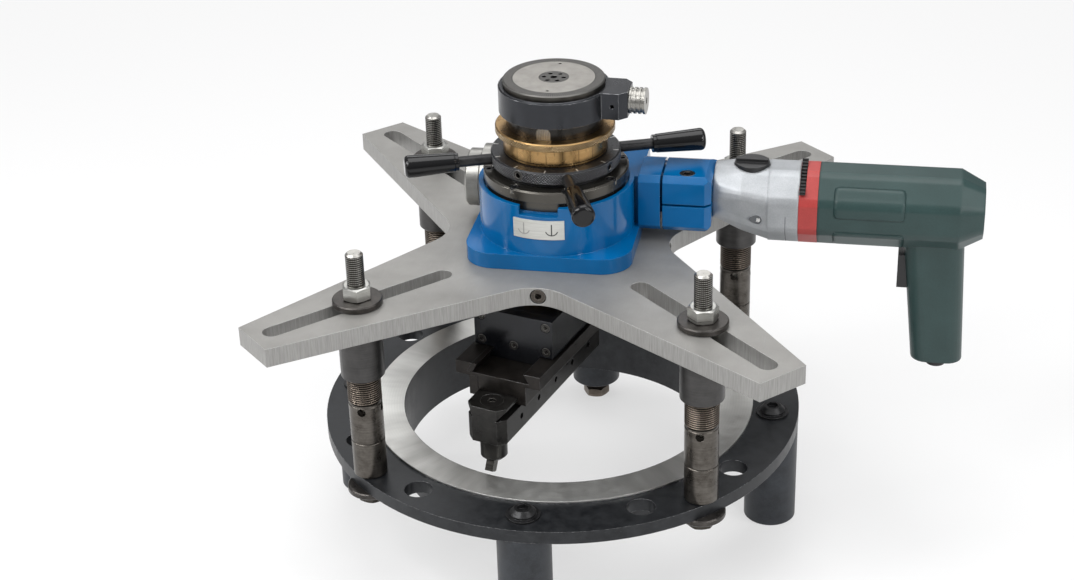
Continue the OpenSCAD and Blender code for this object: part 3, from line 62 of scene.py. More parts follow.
# The circle of the four clamp bolts, and how far along x and y each bolt stands
CLAMP_RADIUS = 0.217
CLAMP_SEAT = CLAMP_RADIUS * math.sqrt(0.5)

# Where the threads end: on top of the nuts, of the clamp bolts and of the adjusters
NUT_TOP = span("upper_nuts", 2)[1]
BOLT_TOP = span("clamp_bolts", 2)[1]
SLEEVE_TOP = span("adjuster_front_left", 2)[1]

# The motor's axis (y, z), and where the gear case ends along it
MOTOR_AXIS = tuple(sum(span("motor_band", axis)) / 2 for axis in (1, 2))
CASE_END = span("gear_case", 0)[1]

# Most of a noise lies between these two levels
NOISE_SPAN = (0.3, 0.7)

# Stretches of a noise: rings round an upright part, and strokes along x, y or z
RINGS = (0.02, 0.02, 1.0)
ALONG_X = (0.12, 1.0, 1.0)
ALONG_Y = (1.0, 0.06, 1.0)
ALONG_Z = (1.0, 1.0, 0.05)


class Value:
    """A number, colour or direction in one node tree. A sum on it adds its Math nodes."""

    def __init__(self, nodes, socket):
        self.nodes = nodes
        self.socket = socket

    def maths(self, operation, *others):
        return self.nodes.node("ShaderNodeMath", {"operation": operation}, self, *others)

    def __add__(self, other):
        return self.maths("ADD", other)

    def __sub__(self, other):
        return self.maths("SUBTRACT", other)

    def __rsub__(self, other):
        return self.nodes.node("ShaderNodeMath", {"operation": "SUBTRACT"}, other, self)

    def __mul__(self, other):
        return self.maths("MULTIPLY", other)

    def __truediv__(self, other):
        return self.maths("DIVIDE", other)

    def __rtruediv__(self, other):
        return self.nodes.node("ShaderNodeMath", {"operation": "DIVIDE"}, other, self)

    __radd__ = __add__
    __rmul__ = __mul__

    def over(self, edge, soft=0.0):
        """1 where this is above the edge, fading in over the soft width."""
        if not soft:
            return self.maths("GREATER_THAN", edge)
        return self.nodes.levels(self, edge - soft / 2, edge + soft / 2)

    def under(self, edge, soft=0.0):
        """1 where this is below the edge, fading out over the soft width."""
        return 1 - self.over(edge, soft)

    def between(self, low, high):
        """1 between two edges."""
        return self.over(low) * self.under(high)

    def waves(self, length):
        """A sine of this value, from -1 to 1, that repeats after the given length."""
        return (self * (2 * math.pi / length)).maths("SINE")

    def every(self, step, width):
        """1 on a line of the given width at each step."""
        return ((self / step).maths("FRACT") - 0.5).maths("ABSOLUTE").over(0.5 - width / step / 2)


class Nodes:
    """A node tree that one method fills, for a material or for the world."""

    def __init__(self, tree):
        self.tree = tree

    def node(self, kind, settings=None, *values, output=0, **named):
        """Adds a node: its settings first, then the values or links of its sockets."""
        node = self.tree.nodes.new(kind)
        for key, setting in (settings or {}).items():
            if key == "stops":
                elements = node.color_ramp.elements
                while len(elements) < len(setting):
                    elements.new(1.0)
                for element, (spot, colour) in zip(elements, setting):
                    element.position = spot
                    element.color = colour
            else:
                setattr(node, key, setting)
        sockets = dict(enumerate(values))
        sockets.update((name.replace("_", " "), value) for name, value in named.items())
        for socket, value in sockets.items():
            if isinstance(value, Value):
                self.tree.links.new(value.socket, node.inputs[socket])
            elif value is not None:
                node.inputs[socket].default_value = value
        return Value(self, node.outputs[output])

    def levels(self, factor, low, high, to_low=0.0, to_high=1.0):
        """Spreads a value from one range to another, and clamps it there."""
        return self.node("ShaderNodeMapRange", {"clamp": True}, factor, low, high, to_low, to_high)

    def blend(self, factor, first, second):
        """Colour that goes from first to second as the factor goes from 0 to 1."""
        colours = [c if isinstance(c, Value) else rgba(c) for c in (first, second)]
        # Five sockets for numbers and vectors come before the colours of a Mix node
        unused = [None] * 5
        return self.node("ShaderNodeMix", {"data_type": "RGBA"}, factor, *unused, *colours, output=2)


class Finish(Nodes):
    """One material. Its place is the part's own rest place in metres."""

    def __init__(self, name, colour, roughness, metallic=0.0, **fixed):
        self.material = bpy.data.materials.new(name)
        self.material.use_nodes = True
        super().__init__(self.material.node_tree)
        self.shader = self.tree.nodes["Principled BSDF"]
        fixed.update(Base_Color=rgba(colour), Roughness=roughness, Metallic=metallic)
        for socket, setting in fixed.items():
            self.shader.inputs[socket.replace("_", " ")].default_value = setting
        self.place = self.node("ShaderNodeTexCoord", output="Object")
        axes = self.node("ShaderNodeSeparateXYZ", {}, self.place).socket.node.outputs
        self.x, self.y, self.z = (Value(self, axis) for axis in axes)

    def set(self, socket, value):
        """What changes over the surface goes to the shader through here."""
        self.tree.links.new(value.socket, self.shader.inputs[socket])

    def away(self):
        """Distance from the machine's upright axis."""
        return distance(self.x, self.y)

    def clamp_away(self):
        """Distance from the axis of the nearest clamp bolt."""
        return distance(self.x.maths("ABSOLUTE") - CLAMP_SEAT, self.y.maths("ABSOLUTE") - CLAMP_SEAT)

    def turn(self):
        """Angle round the machine's upright axis, in radians."""
        return self.y.maths("ARCTAN2", self.x)

    def turns(self):
        """Angle round the machine's upright axis, in whole turns."""
        return self.turn() / (2 * math.pi)

    def cloud(self, size, detail, rough, stretch=None, at=None):
        """Noise from 0 to 1 with patches of about the given size."""
        place = at or self.place
        if stretch:
            place = self.node("ShaderNodeMapping", {}, place, Scale=stretch)
        return self.node("ShaderNodeTexNoise", {}, place, Scale=1 / size, Detail=detail, Roughness=rough)

    def lathe_rings(self):
        """The fine rings that a lathe leaves round an upright part."""
        return self.cloud(0.0011, 2, 0.6, RINGS)

    def fine_grain(self):
        """The fine grain of machined and blackened steel."""
        return self.cloud(0.0011, 3, 0.7)

    def knurl(self, radius, pitch, band):
        """Crossed knurling round an upright edge, kept to the band."""
        around = self.turn() * radius
        leaning = (around + self.z).waves(pitch)
        return leaning.maths("MINIMUM", (around - self.z).waves(pitch)) * band

    def mottled(self, noise, first, second):
        """Colour that follows a noise from first to second."""
        return self.blend(self.levels(noise, *NOISE_SPAN), first, second)

    def roughen(self, noise, low, high):
        """Roughness that follows a noise from low to high."""
        self.set("Roughness", self.levels(noise, *NOISE_SPAN, low, high))

    def edge_round(self, radius):
        """The normal with its edges rounded, for a machined part."""
        return self.node("ShaderNodeBevel", {"samples": 4}, Radius=radius)

    def edge_mask(self, radius, gain=3.0):
        """1 on the outer and inner edges of a part, 0 on its faces."""
        flat = self.node("ShaderNodeNewGeometry", output="Normal")
        meet = self.node("ShaderNodeVectorMath", {"operation": "DOT_PRODUCT"}, self.edge_round(radius), flat,
                         output="Value")
        return ((1 - meet) * gain).maths("MINIMUM", 1.0)

    def bump(self, height, depth, radius, strength):
        """Sends a height to the normal, over rounded edges."""
        self.set("Normal", self.node("ShaderNodeBump", {}, Strength=strength, Distance=depth, Height=height,
                                     Normal=self.edge_round(radius)))

    def rounded(self, radius):
        """Rounds the edges alone."""
        self.set("Normal", self.edge_round(radius))


def rgba(colour):
    """A grey level or a colour as the four numbers that a colour socket takes."""
    if isinstance(colour, (int, float)):
        return (colour, colour, colour, 1)
    return (*colour, 1)


def distance(across, along):
    """Length of a straight line that goes so far across and along."""
    return (across * across + along * along).maths("SQRT")


def shade(colour, gain, lift=0.0):
    """A darker or paler tone of a colour."""
    return tuple(min(1.0, channel * gain + lift) for channel in colour)


def dress(finish, *names):
    """Gives a finish to the CAD nodes of these names."""
    for name in names:
        mesh = parts[name].data
        mesh.materials.clear()
        mesh.materials.append(finish.material)
    return finish


def turned_steel(name, colour, roughness, spread):
    """Steel turned on a lathe: fine rings, and a tone that drifts along and round the part."""
    edge_radius = 0.0006
    steel = Finish(name, colour, roughness, 1.0)
    rings = steel.lathe_rings()
    drift = steel.cloud(0.016, 3, 0.6)
    tone = steel.mottled(drift * 0.6 + rings * 0.4, shade(colour, 1 - spread), shade(colour, 1 + spread))
    steel.set("Base Color", steel.blend(steel.edge_mask(edge_radius) * 0.35, tone, 0.55))
    steel.roughen(rings, roughness * 0.85, min(1.0, roughness * 1.3))
    steel.bump(rings, depth=0.00003, radius=edge_radius, strength=0.6)
    return steel


def ring_finish():
    """The flange: blackened rim and neck, and the bright raised face cut by the tool, with painted sheen
    streaks on it.
    """
    face_foot, face_inside, face_outside = 0.0008, radii("flange_ring")[0] + 0.0003, 0.1862
    groove = 0.00042
    steel = Finish("ring_steel", (0.030, 0.032, 0.036), 0.38, 0.55)
    away, turn = steel.away(), steel.turn()
    face = steel.z.over(face_foot) * away.between(face_inside, face_outside)
    mottle = steel.cloud(0.011, 4, 0.6)
    fine = steel.cloud(0.0012, 2, 0.7)
    black = steel.blend(steel.levels(mottle, 0.3, 0.75), (0.008, 0.009, 0.011), (0.026, 0.028, 0.031))
    scratches = steel.levels(steel.cloud(0.0016, 3, 0.7, ALONG_X), 0.66, 0.74)
    black = steel.blend(scratches * 0.18, black, (0.16, 0.16, 0.17))
    nicks = steel.levels(steel.cloud(0.004, 4, 0.75), 0.42, 0.66)
    black = steel.blend(steel.edge_mask(0.0009) * nicks * 0.85, black, (0.46, 0.46, 0.47))
    grooves = (away / groove).maths("SINE")
    # Painted sheen on the raised face: bright and dark sweeps round the axis, as light running along the
    # tool's lay.
    broad = steel.cloud(0.35, 3, 0.6, at=steel.node("ShaderNodeCombineXYZ", {}, turn, away * 2.0, 0.0))
    narrow = steel.cloud(0.07, 3, 0.6, at=steel.node("ShaderNodeCombineXYZ", {}, turn, away, 0.0))
    sheen_sweep = (turn * 4.0 + 0.9).maths("SINE") * 0.5 + 0.5
    painted_sheen = steel.levels(broad * 0.60 + narrow * 0.14 + sheen_sweep * 0.26, 0.34, 0.66)
    bright = steel.blend(painted_sheen, (0.40, 0.395, 0.38), (0.86, 0.86, 0.83))
    bright = steel.blend(grooves.over(0.2, 0.6) * 0.06, bright, (0.42, 0.42, 0.41))
    steel.set("Base Color", steel.blend(face, black, bright))
    steel.set("Metallic", face * 0.55 + 0.35)
    steel.set("Roughness", steel.levels(mottle + fine * 0.3, 0.4, 0.9, 0.30, 0.46) - face * 0.02)
    height = face * grooves * 0.3 + (1 - face) * (fine * 0.5 + mottle)
    steel.bump(height, depth=0.00006, radius=0.0008, strength=0.5)
    return steel


def plate_finish():
    """The spider plate: matt grey ground faces, cutter marks on its edges, and a painted highlight along its
    corners.
    """
    under_face, top_face = span("spider_plate", 2)
    edge_width = 0.0004
    steel = Finish("plate_steel", (0.33, 0.325, 0.315), 0.50, 0.55)
    on_side = steel.z.between(under_face + edge_width, top_face - edge_width)
    fine = steel.cloud(0.0010, 3, 0.7)
    drift = steel.cloud(0.045, 4, 0.6)
    lay = steel.cloud(0.0012, 3, 0.7, ALONG_Y)
    ground = steel.levels(drift * 0.7 + fine * 0.3, 0.32, 0.68)
    face = steel.blend(ground, (0.255, 0.249, 0.236), (0.335, 0.328, 0.313))
    face = steel.blend(lay.over(0.64, 0.1) * 0.06, face, 0.55)
    marks = steel.cloud(0.0012, 2, 0.7, ALONG_Z)
    side = steel.blend(steel.levels(marks, 0.32, 0.68), (0.27, 0.265, 0.255), (0.36, 0.355, 0.343))
    tone = steel.blend(on_side, face, side)
    # The corners are painted pale grey as a painted highlight.
    steel.set("Base Color", steel.blend(steel.edge_mask(0.0007) * 0.75, tone, 0.72))
    steel.roughen(fine, 0.42, 0.54)
    height = on_side * marks * 0.3 + (1 - on_side) * fine * 0.35
    steel.bump(height, depth=0.00009, radius=0.0009, strength=0.6)
    return steel


def enamel(name, colour, edge_colour):
    """Thick glossy paint on a casting: an even colour, slight orange peel, and rounded edges with a painted
    highlight.
    """
    paint = Finish(name, colour, 0.14, 0.0, Coat_Weight=0.10, Coat_Roughness=0.04, Specular_IOR_Level=0.30)
    peel = paint.cloud(0.0035, 2, 0.5)
    base = paint.mottled(paint.cloud(0.05, 3, 0.5), shade(colour, 0.86), shade(colour, 1.12))
    # The edges are painted a paler blue: a painted highlight on the rounded edges.
    paint.set("Base Color", paint.blend(paint.edge_mask(0.0012) * 0.22, base, edge_colour))
    paint.roughen(peel, 0.11, 0.18)
    paint.bump(peel, depth=0.00006, radius=0.0013, strength=0.5)
    return paint


def casting_finish():
    """The gear case: blasted aluminium with a fine sandy grain, and the seam in its lower half."""
    metal = Finish("blasted_case", (0.46, 0.47, 0.48), 0.46, 0.75)
    grain = metal.cloud(0.0009, 2, 0.8)
    coarse = metal.cloud(0.02, 3, 0.6)
    seam = metal.x.between(CASE_END - 0.0119, CASE_END - 0.0113) * metal.z.under(MOTOR_AXIS[1])
    tone = metal.mottled(grain * 0.6 + coarse * 0.4, (0.31, 0.325, 0.34), (0.50, 0.515, 0.53))
    metal.set("Base Color", metal.blend(seam * 0.85, tone, (0.08, 0.08, 0.085)))
    metal.set("Roughness", metal.levels(grain, 0.25, 0.75, 0.38, 0.56))
    metal.bump(grain * 0.8 - seam * 2.0, depth=0.00012, radius=0.0030, strength=0.6)
    return metal


def moulded(name, colour, roughness, grain_size=0.0009, radius=0.0012):
    """Moulded plastic with a fine spark-eroded grain."""
    plastic = Finish(name, colour, roughness, 0.0, Specular_IOR_Level=0.45)
    grain = plastic.cloud(grain_size, 2, 0.7)
    drift = plastic.cloud(0.03, 3, 0.6)
    base = plastic.mottled(drift * 0.5 + grain * 0.5, shade(colour, 0.82), shade(colour, 1.2, 0.004))
    plastic.set("Base Color", plastic.blend(plastic.edge_mask(radius) * 0.15, base, shade(colour, 2, 0.03)))
    plastic.roughen(grain, roughness * 0.9, roughness * 1.15)
    plastic.bump(grain, depth=0.00006, radius=radius, strength=0.5)
    return plastic


def blackened(name, colour, roughness, metallic, wear, radius, mottle_size=0.009):
    """Black-oxide steel: oily mottling, with bright metal where its edges are rubbed."""
    steel = Finish(name, colour, roughness, metallic)
    mottle = steel.cloud(mottle_size, 4, 0.62)
    fine = steel.fine_grain()
    oily = steel.levels(mottle * 0.7 + fine * 0.3, 0.34, 0.68)
    base = steel.blend(oily, shade(colour, 0.6), shade(colour, 1.7, 0.002))
    nicks = steel.levels(steel.cloud(0.003, 3, 0.7), 0.35, 0.65)
    steel.set("Base Color", steel.blend(steel.edge_mask(radius) * nicks * wear, base, (0.40, 0.40, 0.41)))
    steel.roughen(mottle, roughness * 0.8, roughness * 1.25)
    steel.bump(fine, depth=0.00005, radius=radius, strength=0.5)
    return steel


def knurled_ring():
    """The handle ring: fine crossed knurling on its edge with painted glints on its crests, turned faces,
    marks on its top.
    """
    edge_radius, top = radii("handle_ring")[1], span("handle_ring", 2)[1]
    edge_low, edge_high = top - 0.0106, top - 0.0013
    mark_foot, mark_inside, mark_outside = top - 0.0016, edge_radius - 0.0063, edge_radius - 0.0014
    mark_share = 0.0028
    steel = Finish("knurled_ring", (0.022, 0.023, 0.025), 0.36, 0.65)
    away = steel.away()
    edge_band = away.over(edge_radius - 0.0006) * steel.z.between(edge_low, edge_high)
    knurl = steel.knurl(edge_radius, 0.0026, edge_band)
    mark_band = steel.z.over(mark_foot) * away.between(mark_inside, mark_outside)
    marks = steel.turns().every(1 / 12, mark_share) * mark_band
    fine = steel.fine_grain()
    tone = steel.mottled(fine, (0.014, 0.015, 0.017), (0.034, 0.035, 0.038))
    tone = steel.blend(steel.edge_mask(0.0007) * 0.75, tone, (0.38, 0.38, 0.39))
    # Painted glints: the knurl's crests are painted paler.
    tone = steel.blend(knurl.over(0.2, 0.4) * edge_band * 0.9, tone, (0.30, 0.30, 0.31))
    steel.set("Base Color", steel.blend(marks, tone, (0.66, 0.66, 0.64)))
    steel.roughen(fine, 0.24, 0.36)
    steel.bump(knurl, depth=0.00035, radius=0.0006, strength=0.9)
    return steel


def dial_finish():
    """The dial: turned bronze with long and short divisions, painted shade in its groove, and a knurled
    flange with painted glints and shade.
    """
    foot, top = span("dial_ring", 2)
    flange_radius = radii("dial_ring")[1]
    flange_foot, flange_low, flange_high = top - 0.0073, top - 0.0063, top - 0.0011
    short_foot, long_foot = foot + 0.0116, foot + 0.0034
    groove_low, groove_high = foot + 0.0024, foot + 0.0032
    metal = Finish("dial_bronze", (0.42, 0.26, 0.10), 0.28, 1.0)
    away, part = metal.away(), metal.turns()
    body = metal.z.under(flange_foot) * away.over(0.0470)
    short = part.every(1 / 40, 0.0014) * metal.z.over(short_foot)
    long = part.every(1 / 20, 0.0016) * metal.z.over(long_foot)
    lines = short.maths("MAXIMUM", long) * body
    groove = metal.z.between(groove_low, groove_high) * away.over(0.0465)
    flange_edge = away.over(flange_radius - 0.0007) * metal.z.between(flange_low, flange_high)
    knurl = metal.knurl(flange_radius, 0.0025, flange_edge)
    drift = metal.cloud(0.02, 4, 0.65)
    turned = drift * 0.6 + metal.lathe_rings() * 0.4
    tone = metal.mottled(turned, (0.34, 0.200, 0.080), (0.47, 0.310, 0.140))
    tone = metal.blend(metal.levels(drift, 0.62, 0.8) * 0.15, tone, (0.14, 0.085, 0.04))
    # Painted glints on the knurl's crests, and painted shade in its hollows.
    tone = metal.blend(knurl.over(0.2, 0.4) * flange_edge * 0.9, tone, (0.86, 0.72, 0.46))
    tone = metal.blend(knurl.under(-0.3, 0.6) * flange_edge * 0.7, tone, (0.10, 0.06, 0.025))
    # The divisions are dark marks; the dark in the turned groove is painted shade.
    metal.set("Base Color", metal.blend(lines.maths("MAXIMUM", groove) * 0.9, tone, (0.04, 0.028, 0.016)))
    metal.roughen(drift, 0.22, 0.36)
    metal.bump(knurl - lines * 0.6 - groove, depth=0.00030, radius=0.0006, strength=0.8)
    return metal


def cap_disc():
    """The spindle cap: a ground middle, and a finely divided dark rim."""
    hub_radius, edge_radius = radii("spindle_cap")
    top_foot = span("spindle_cap", 2)[1] - 0.0013
    rim_radius, outer_radius = edge_radius - 0.0089, edge_radius - 0.0009
    dark, pale = (0.055, 0.053, 0.050), (0.20, 0.195, 0.185)
    steel = Finish("cap_disc", (0.26, 0.25, 0.23), 0.38, 1.0)
    away = steel.away()
    top = steel.z.over(top_foot)
    rim = away.over(rim_radius)
    hatch = steel.turns().every(1 / 144, 0.0030) * rim
    rings = (away / 0.00035).maths("SINE")
    drift = steel.cloud(0.012, 4, 0.6)
    middle = steel.mottled(drift, (0.290, 0.278, 0.258), (0.41, 0.394, 0.366))
    band = steel.blend(away.over(outer_radius) * 0.5, steel.blend(hatch, dark, pale), pale)
    side = steel.mottled(drift, (0.045, 0.042, 0.038), (0.09, 0.084, 0.075))
    tone = steel.blend(top, side, steel.blend(rim, middle, band))
    rim_line = away.between(rim_radius - 0.0003, rim_radius + 0.0004)
    hub_line = away.between(hub_radius - 0.0006, hub_radius + 0.0008)
    line = rim_line.maths("MAXIMUM", hub_line) * top
    steel.set("Base Color", steel.blend(line * 0.8, tone, (0.035, 0.034, 0.032)))
    steel.roughen(drift, 0.34, 0.46)
    steel.bump(rings * 0.25 * (1 - rim) - hatch * 0.8 - line, depth=0.00010, radius=0.0004, strength=0.6)
    return steel


def rod_finish():
    """The zinc clamp bolts: bright thread crests, painted shade down in the thread, and painted shade on the
    bolts under the flange.
    """
    head_top, thread_radius = 0.05, 0.0088
    steel = Finish("rod_zinc", (0.50, 0.49, 0.46), 0.30, 1.0)
    away = steel.clamp_away()
    threaded = steel.z.between(NUT_TOP + 0.0004, BOLT_TOP - 0.0018) * away.under(thread_radius)
    crest = steel.levels(away, 0.00799, 0.00805)
    drift = steel.cloud(0.008, 3, 0.6)
    plain = steel.mottled(drift, (0.38, 0.37, 0.345), (0.60, 0.59, 0.555))
    # Painted shade in the thread: its hollows dark, its crests plain zinc.
    cut = steel.blend(crest, (0.030, 0.028, 0.025), plain)
    # Painted shade under the flange: below head_top the bolt and its head are dark.
    plain = steel.blend(steel.z.under(head_top), plain, (0.060, 0.055, 0.048))
    steel.set("Base Color", steel.blend(threaded, plain, cut))
    steel.roughen(drift, 0.24, 0.38)
    steel.rounded(0.0005)
    return steel


def arrow_plate():
    """The instruction plate: etched metal with two plain arrow strokes."""
    plate_azimuth, plate_radius, plate_height = math.radians(-93.7), radii("instruction_plate")[1], 0.2181
    metal = Finish("arrow_plate", (0.60, 0.60, 0.57), 0.38, 0.55)
    along = (metal.turn() - plate_azimuth) * plate_radius
    up = metal.z - plate_height
    strokes = []
    for side in (-0.0135, 0.0125):
        across = along - side
        shaft = across.maths("ABSOLUTE").under(0.00055) * up.between(-0.0052, 0.0060)
        swing = distance(across, up - 0.0005)
        arc = (swing - 0.0056).maths("ABSOLUTE").under(0.0005) * up.under(-0.0012)
        strokes.append(shaft.maths("MAXIMUM", arc))
    faint, clear = strokes
    level_strokes = (0.05, 0.05, 1.0)
    lay = metal.cloud(0.0010, 2, 0.7, level_strokes)
    tone = metal.mottled(lay, (0.52, 0.52, 0.49), (0.64, 0.64, 0.61))
    tone = metal.blend(faint * 0.6, tone, (0.16, 0.16, 0.16))
    metal.set("Base Color", metal.blend(clear, tone, (0.05, 0.05, 0.05)))
    metal.roughen(lay, 0.32, 0.45)
    metal.bump(lay - faint - clear, depth=0.00003, radius=0.0003, strength=0.5)
    return metal


def satin_black(name, colour, edge_colour):
    """Even satin steel, browned or blued, with a thin bright line on its rubbed edges."""
    steel = Finish(name, colour, 0.26, 0.85)
    drift = steel.cloud(0.03, 3, 0.55)
    fine = steel.fine_grain()
    satin = steel.levels(drift * 0.6 + fine * 0.4, 0.32, 0.68)
    base = steel.blend(satin, shade(colour, 0.82), shade(colour, 1.2))
    nicks = steel.levels(steel.cloud(0.004, 3, 0.7), 0.25, 0.60)
    steel.set("Base Color", steel.blend(steel.edge_mask(0.0007, 4.0) * nicks * 0.9, base, edge_colour))
    steel.roughen(drift, 0.21, 0.29)
    steel.bump(fine, depth=0.00003, radius=0.0006, strength=0.4)
    return steel


def ribbed_key():
    """The key in the quill: warm grey steel with fine upright ribs, shaded with painted dark stripes."""
    quill_radius, rib_pitch = 0.045, 0.0016
    steel = Finish("key_steel", (0.24, 0.225, 0.195), 0.34, 0.9)
    rib = (steel.turn() * quill_radius).waves(rib_pitch)
    plain = steel.mottled(steel.cloud(0.006, 3, 0.6), (0.19, 0.178, 0.155), (0.31, 0.293, 0.258))
    # Dark stripes painted along the ribs: painted shade of the ribs.
    steel.set("Base Color", steel.blend(rib.over(0.2, 0.8) * 0.5, plain, (0.11, 0.10, 0.088)))
    steel.bump(rib, depth=0.0002, radius=0.0005, strength=0.8)
    return steel


def sleeve_finish():
    """The adjuster sleeves: browned steel, with painted shade down in the thread and a painted highlight on
    its crests.
    """
    thread_length, thread_radius = 0.0575, 0.0157
    steel = Finish("sleeve_steel", (0.10, 0.09, 0.08), 0.30, 0.95)
    away = steel.clamp_away()
    threaded = steel.z.between(SLEEVE_TOP - thread_length, SLEEVE_TOP - 0.0010) * away.under(thread_radius)
    crest = steel.levels(away, 0.01490, 0.01535)
    drift = steel.cloud(0.012, 4, 0.65)
    rings = steel.lathe_rings()
    browned = steel.levels(drift * 0.7 + rings * 0.3, 0.34, 0.66)
    plain = steel.blend(browned, (0.055, 0.048, 0.041), (0.150, 0.138, 0.124))
    plain = steel.blend(steel.edge_mask(0.0006) * 0.6, plain, (0.42, 0.39, 0.35))
    # Painted shade in the thread's hollows, and a painted highlight on its crests.
    cut = steel.blend(crest, (0.010, 0.009, 0.008), (0.23, 0.19, 0.155))
    steel.set("Base Color", steel.blend(threaded, plain, cut))
    steel.roughen(drift, 0.24, 0.38)
    steel.bump(rings, depth=0.00003, radius=0.0006, strength=0.5)
    return steel


def gloss_black():
    """The black plastic ball knobs, polished."""
    plastic = Finish("knob_gloss", (0.0035, 0.0035, 0.0040), 0.07, 0.0, Coat_Weight=0.15, Coat_Roughness=0.03,
                     Specular_IOR_Level=0.32)
    plastic.set("Roughness", plastic.levels(plastic.cloud(0.012, 3, 0.6), 0.35, 0.75, 0.05, 0.11))
    plastic.rounded(0.0012)
    return plastic


def bright_screw(name, colour, edge_colour):
    """A dark socket screw with its chamfer and the lip of its socket rubbed bright."""
    steel = Finish(name, colour, 0.28, 0.85)
    tone = steel.mottled(steel.fine_grain(), shade(colour, 0.7), shade(colour, 1.5))
    steel.set("Base Color", steel.blend(steel.edge_mask(0.0008, 4.0) * 0.9, tone, edge_colour))
    steel.rounded(0.0005)
    return steel


# The stand, its columns and the spider plate
dress(ring_finish(), "flange_ring")
dress(blackened("leg_steel", (0.026, 0.029, 0.034), roughness=0.42, metallic=0.35, wear=0.35, radius=0.0010,
                mottle_size=0.02), "stand_legs")
dress(turned_steel("foot_steel", (0.16, 0.135, 0.112), roughness=0.34, spread=0.6), "levelling_bolt")
sleeve_steel = dress(sleeve_finish(), "column_feet", "adjuster_front_left", "adjuster_front_right",
                     "adjuster_rear_right", "adjuster_rear_left")
dress(turned_steel("column_cap_steel", (0.075, 0.073, 0.072), roughness=0.34, spread=0.28), "column_caps")
rod_zinc = dress(rod_finish(), "clamp_bolts")
dress(turned_steel("zinc", (0.50, 0.50, 0.475), roughness=0.30, spread=0.22), "upper_nuts")
dress(blackened("washer_steel", (0.055, 0.050, 0.046), roughness=0.34, metallic=0.75, wear=0.6,
                radius=0.0008), "lower_washers", "upper_washers")
dress(plate_finish(), "spider_plate")
dress(bright_screw("lock_screw_steel", (0.060, 0.052, 0.045), (0.46, 0.42, 0.36)), "lock_screws")

# The gear housing, the motor and its clamp
dress(enamel("blue_enamel", (0.0, 0.104, 0.292), (0.02, 0.26, 0.58)), "gear_housing", "motor_clamp")
dress(arrow_plate(), "instruction_plate")
dress(satin_black("cover_steel", (0.082, 0.077, 0.068), (0.42, 0.40, 0.36)), "bearing_cover")
dress(turned_steel("silver_cap", (0.36, 0.355, 0.335), roughness=0.36, spread=0.18), "worm_cap")
case_metal = dress(casting_finish(), "gear_case")
# A dark grey for the sheet that stands as painted shade in the case's recess.
painted_recess_shade = moulded("painted_recess_shade", (0.10, 0.105, 0.11), roughness=0.5)
pin_steel = turned_steel("pin_steel", (0.85, 0.85, 0.84), roughness=0.20, spread=0.1)
dress(moulded("band_red", (0.36, 0.038, 0.034), roughness=0.38), "motor_band")
# Black for the vent's grille: painted shade in the notch of the band.
vent_painted_shade = moulded("vent_painted_shade", (0.006, 0.006, 0.006), roughness=0.45)
motor_green = dress(moulded("motor_green", (0.016, 0.042, 0.040), roughness=0.36, grain_size=0.0011,
                            radius=0.0035), "motor_housing")
dress(moulded("black_plastic", (0.014, 0.014, 0.015), roughness=0.34), "selector_knob", "trigger",
      "cable_gland")

# The quill with its handles, dial, collar and cap
dress(knurled_ring(), "handle_ring")
dress(gloss_black(), "handle_knobs")
dress(dial_finish(), "dial_ring")
dress(satin_black("quill_steel", (0.030, 0.028, 0.026), (0.30, 0.29, 0.27)), "quill")
dress(ribbed_key(), "quill_key")
dress(satin_black("collar_steel", (0.040, 0.042, 0.047), (0.62, 0.63, 0.65)), "feed_collar")
dress(turned_steel("screw_knob_silver", (0.36, 0.35, 0.325), roughness=0.30, spread=0.28), "collar_screw")
dress(cap_disc(), "spindle_cap")
dress(turned_steel("hub_steel", (0.105, 0.102, 0.096), roughness=0.32, spread=0.3), "feed_shaft")
dress(blackened("screw_black", (0.020, 0.020, 0.021), roughness=0.34, metallic=0.6, wear=0.45, radius=0.0005),
      "leg_screws", "cover_screws", "gib_screws", "handle_rods")
dress(bright_screw("ring_screw_steel", (0.040, 0.038, 0.036), (0.52, 0.50, 0.46)), "ring_screws",
      "motor_clamp_screw", "cover_bolts", "tool_clamp_screw")

# The tool head
dress(blackened("box_black", (0.0055, 0.0062, 0.0085), roughness=0.22, metallic=0.35, wear=0.25,
                radius=0.0006, mottle_size=0.03), "head_box", "front_cover")
dress(blackened("slide_brown", (0.020, 0.017, 0.015), roughness=0.34, metallic=0.6, wear=0.45,
                radius=0.0008, mottle_size=0.010), "cross_slide", "keep_strip", "slide_gib")
dress(blackened("post_steel", (0.019, 0.018, 0.0165), roughness=0.32, metallic=0.6, wear=0.45,
                radius=0.0008, mottle_size=0.012), "tool_slide", "tool_post")
dress(turned_steel("bit_steel", (0.085, 0.081, 0.074), roughness=0.28, spread=0.3), "tool_bit")

# The drive inside
dress(turned_steel("ground_steel", (0.42, 0.42, 0.42), roughness=0.26, spread=0.2), "spindle", "worm_shaft",
      "feed_screw")
dress(turned_steel("bearing_steel", (0.60, 0.60, 0.61), roughness=0.18, spread=0.12), "main_bearings",
      "worm_bearings", "spindle_bearings")
dress(turned_steel("bronze", (0.50, 0.33, 0.14), roughness=0.30, spread=0.25), "lower_bush", "worm_wheel",
      "feed_nut")


def piece(name, bm, finish, body):
    """Keeps a finished mesh as a piece that rides on a body."""
    mesh = bpy.data.meshes.new(name)
    bmesh.ops.recalc_face_normals(bm, faces=bm.faces[:])
    bm.to_mesh(mesh)
    bm.free()
    mesh.materials.append(finish.material)
    made = bpy.data.objects.new(name, mesh)
    bpy.context.scene.collection.objects.link(made)
    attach(made, body)


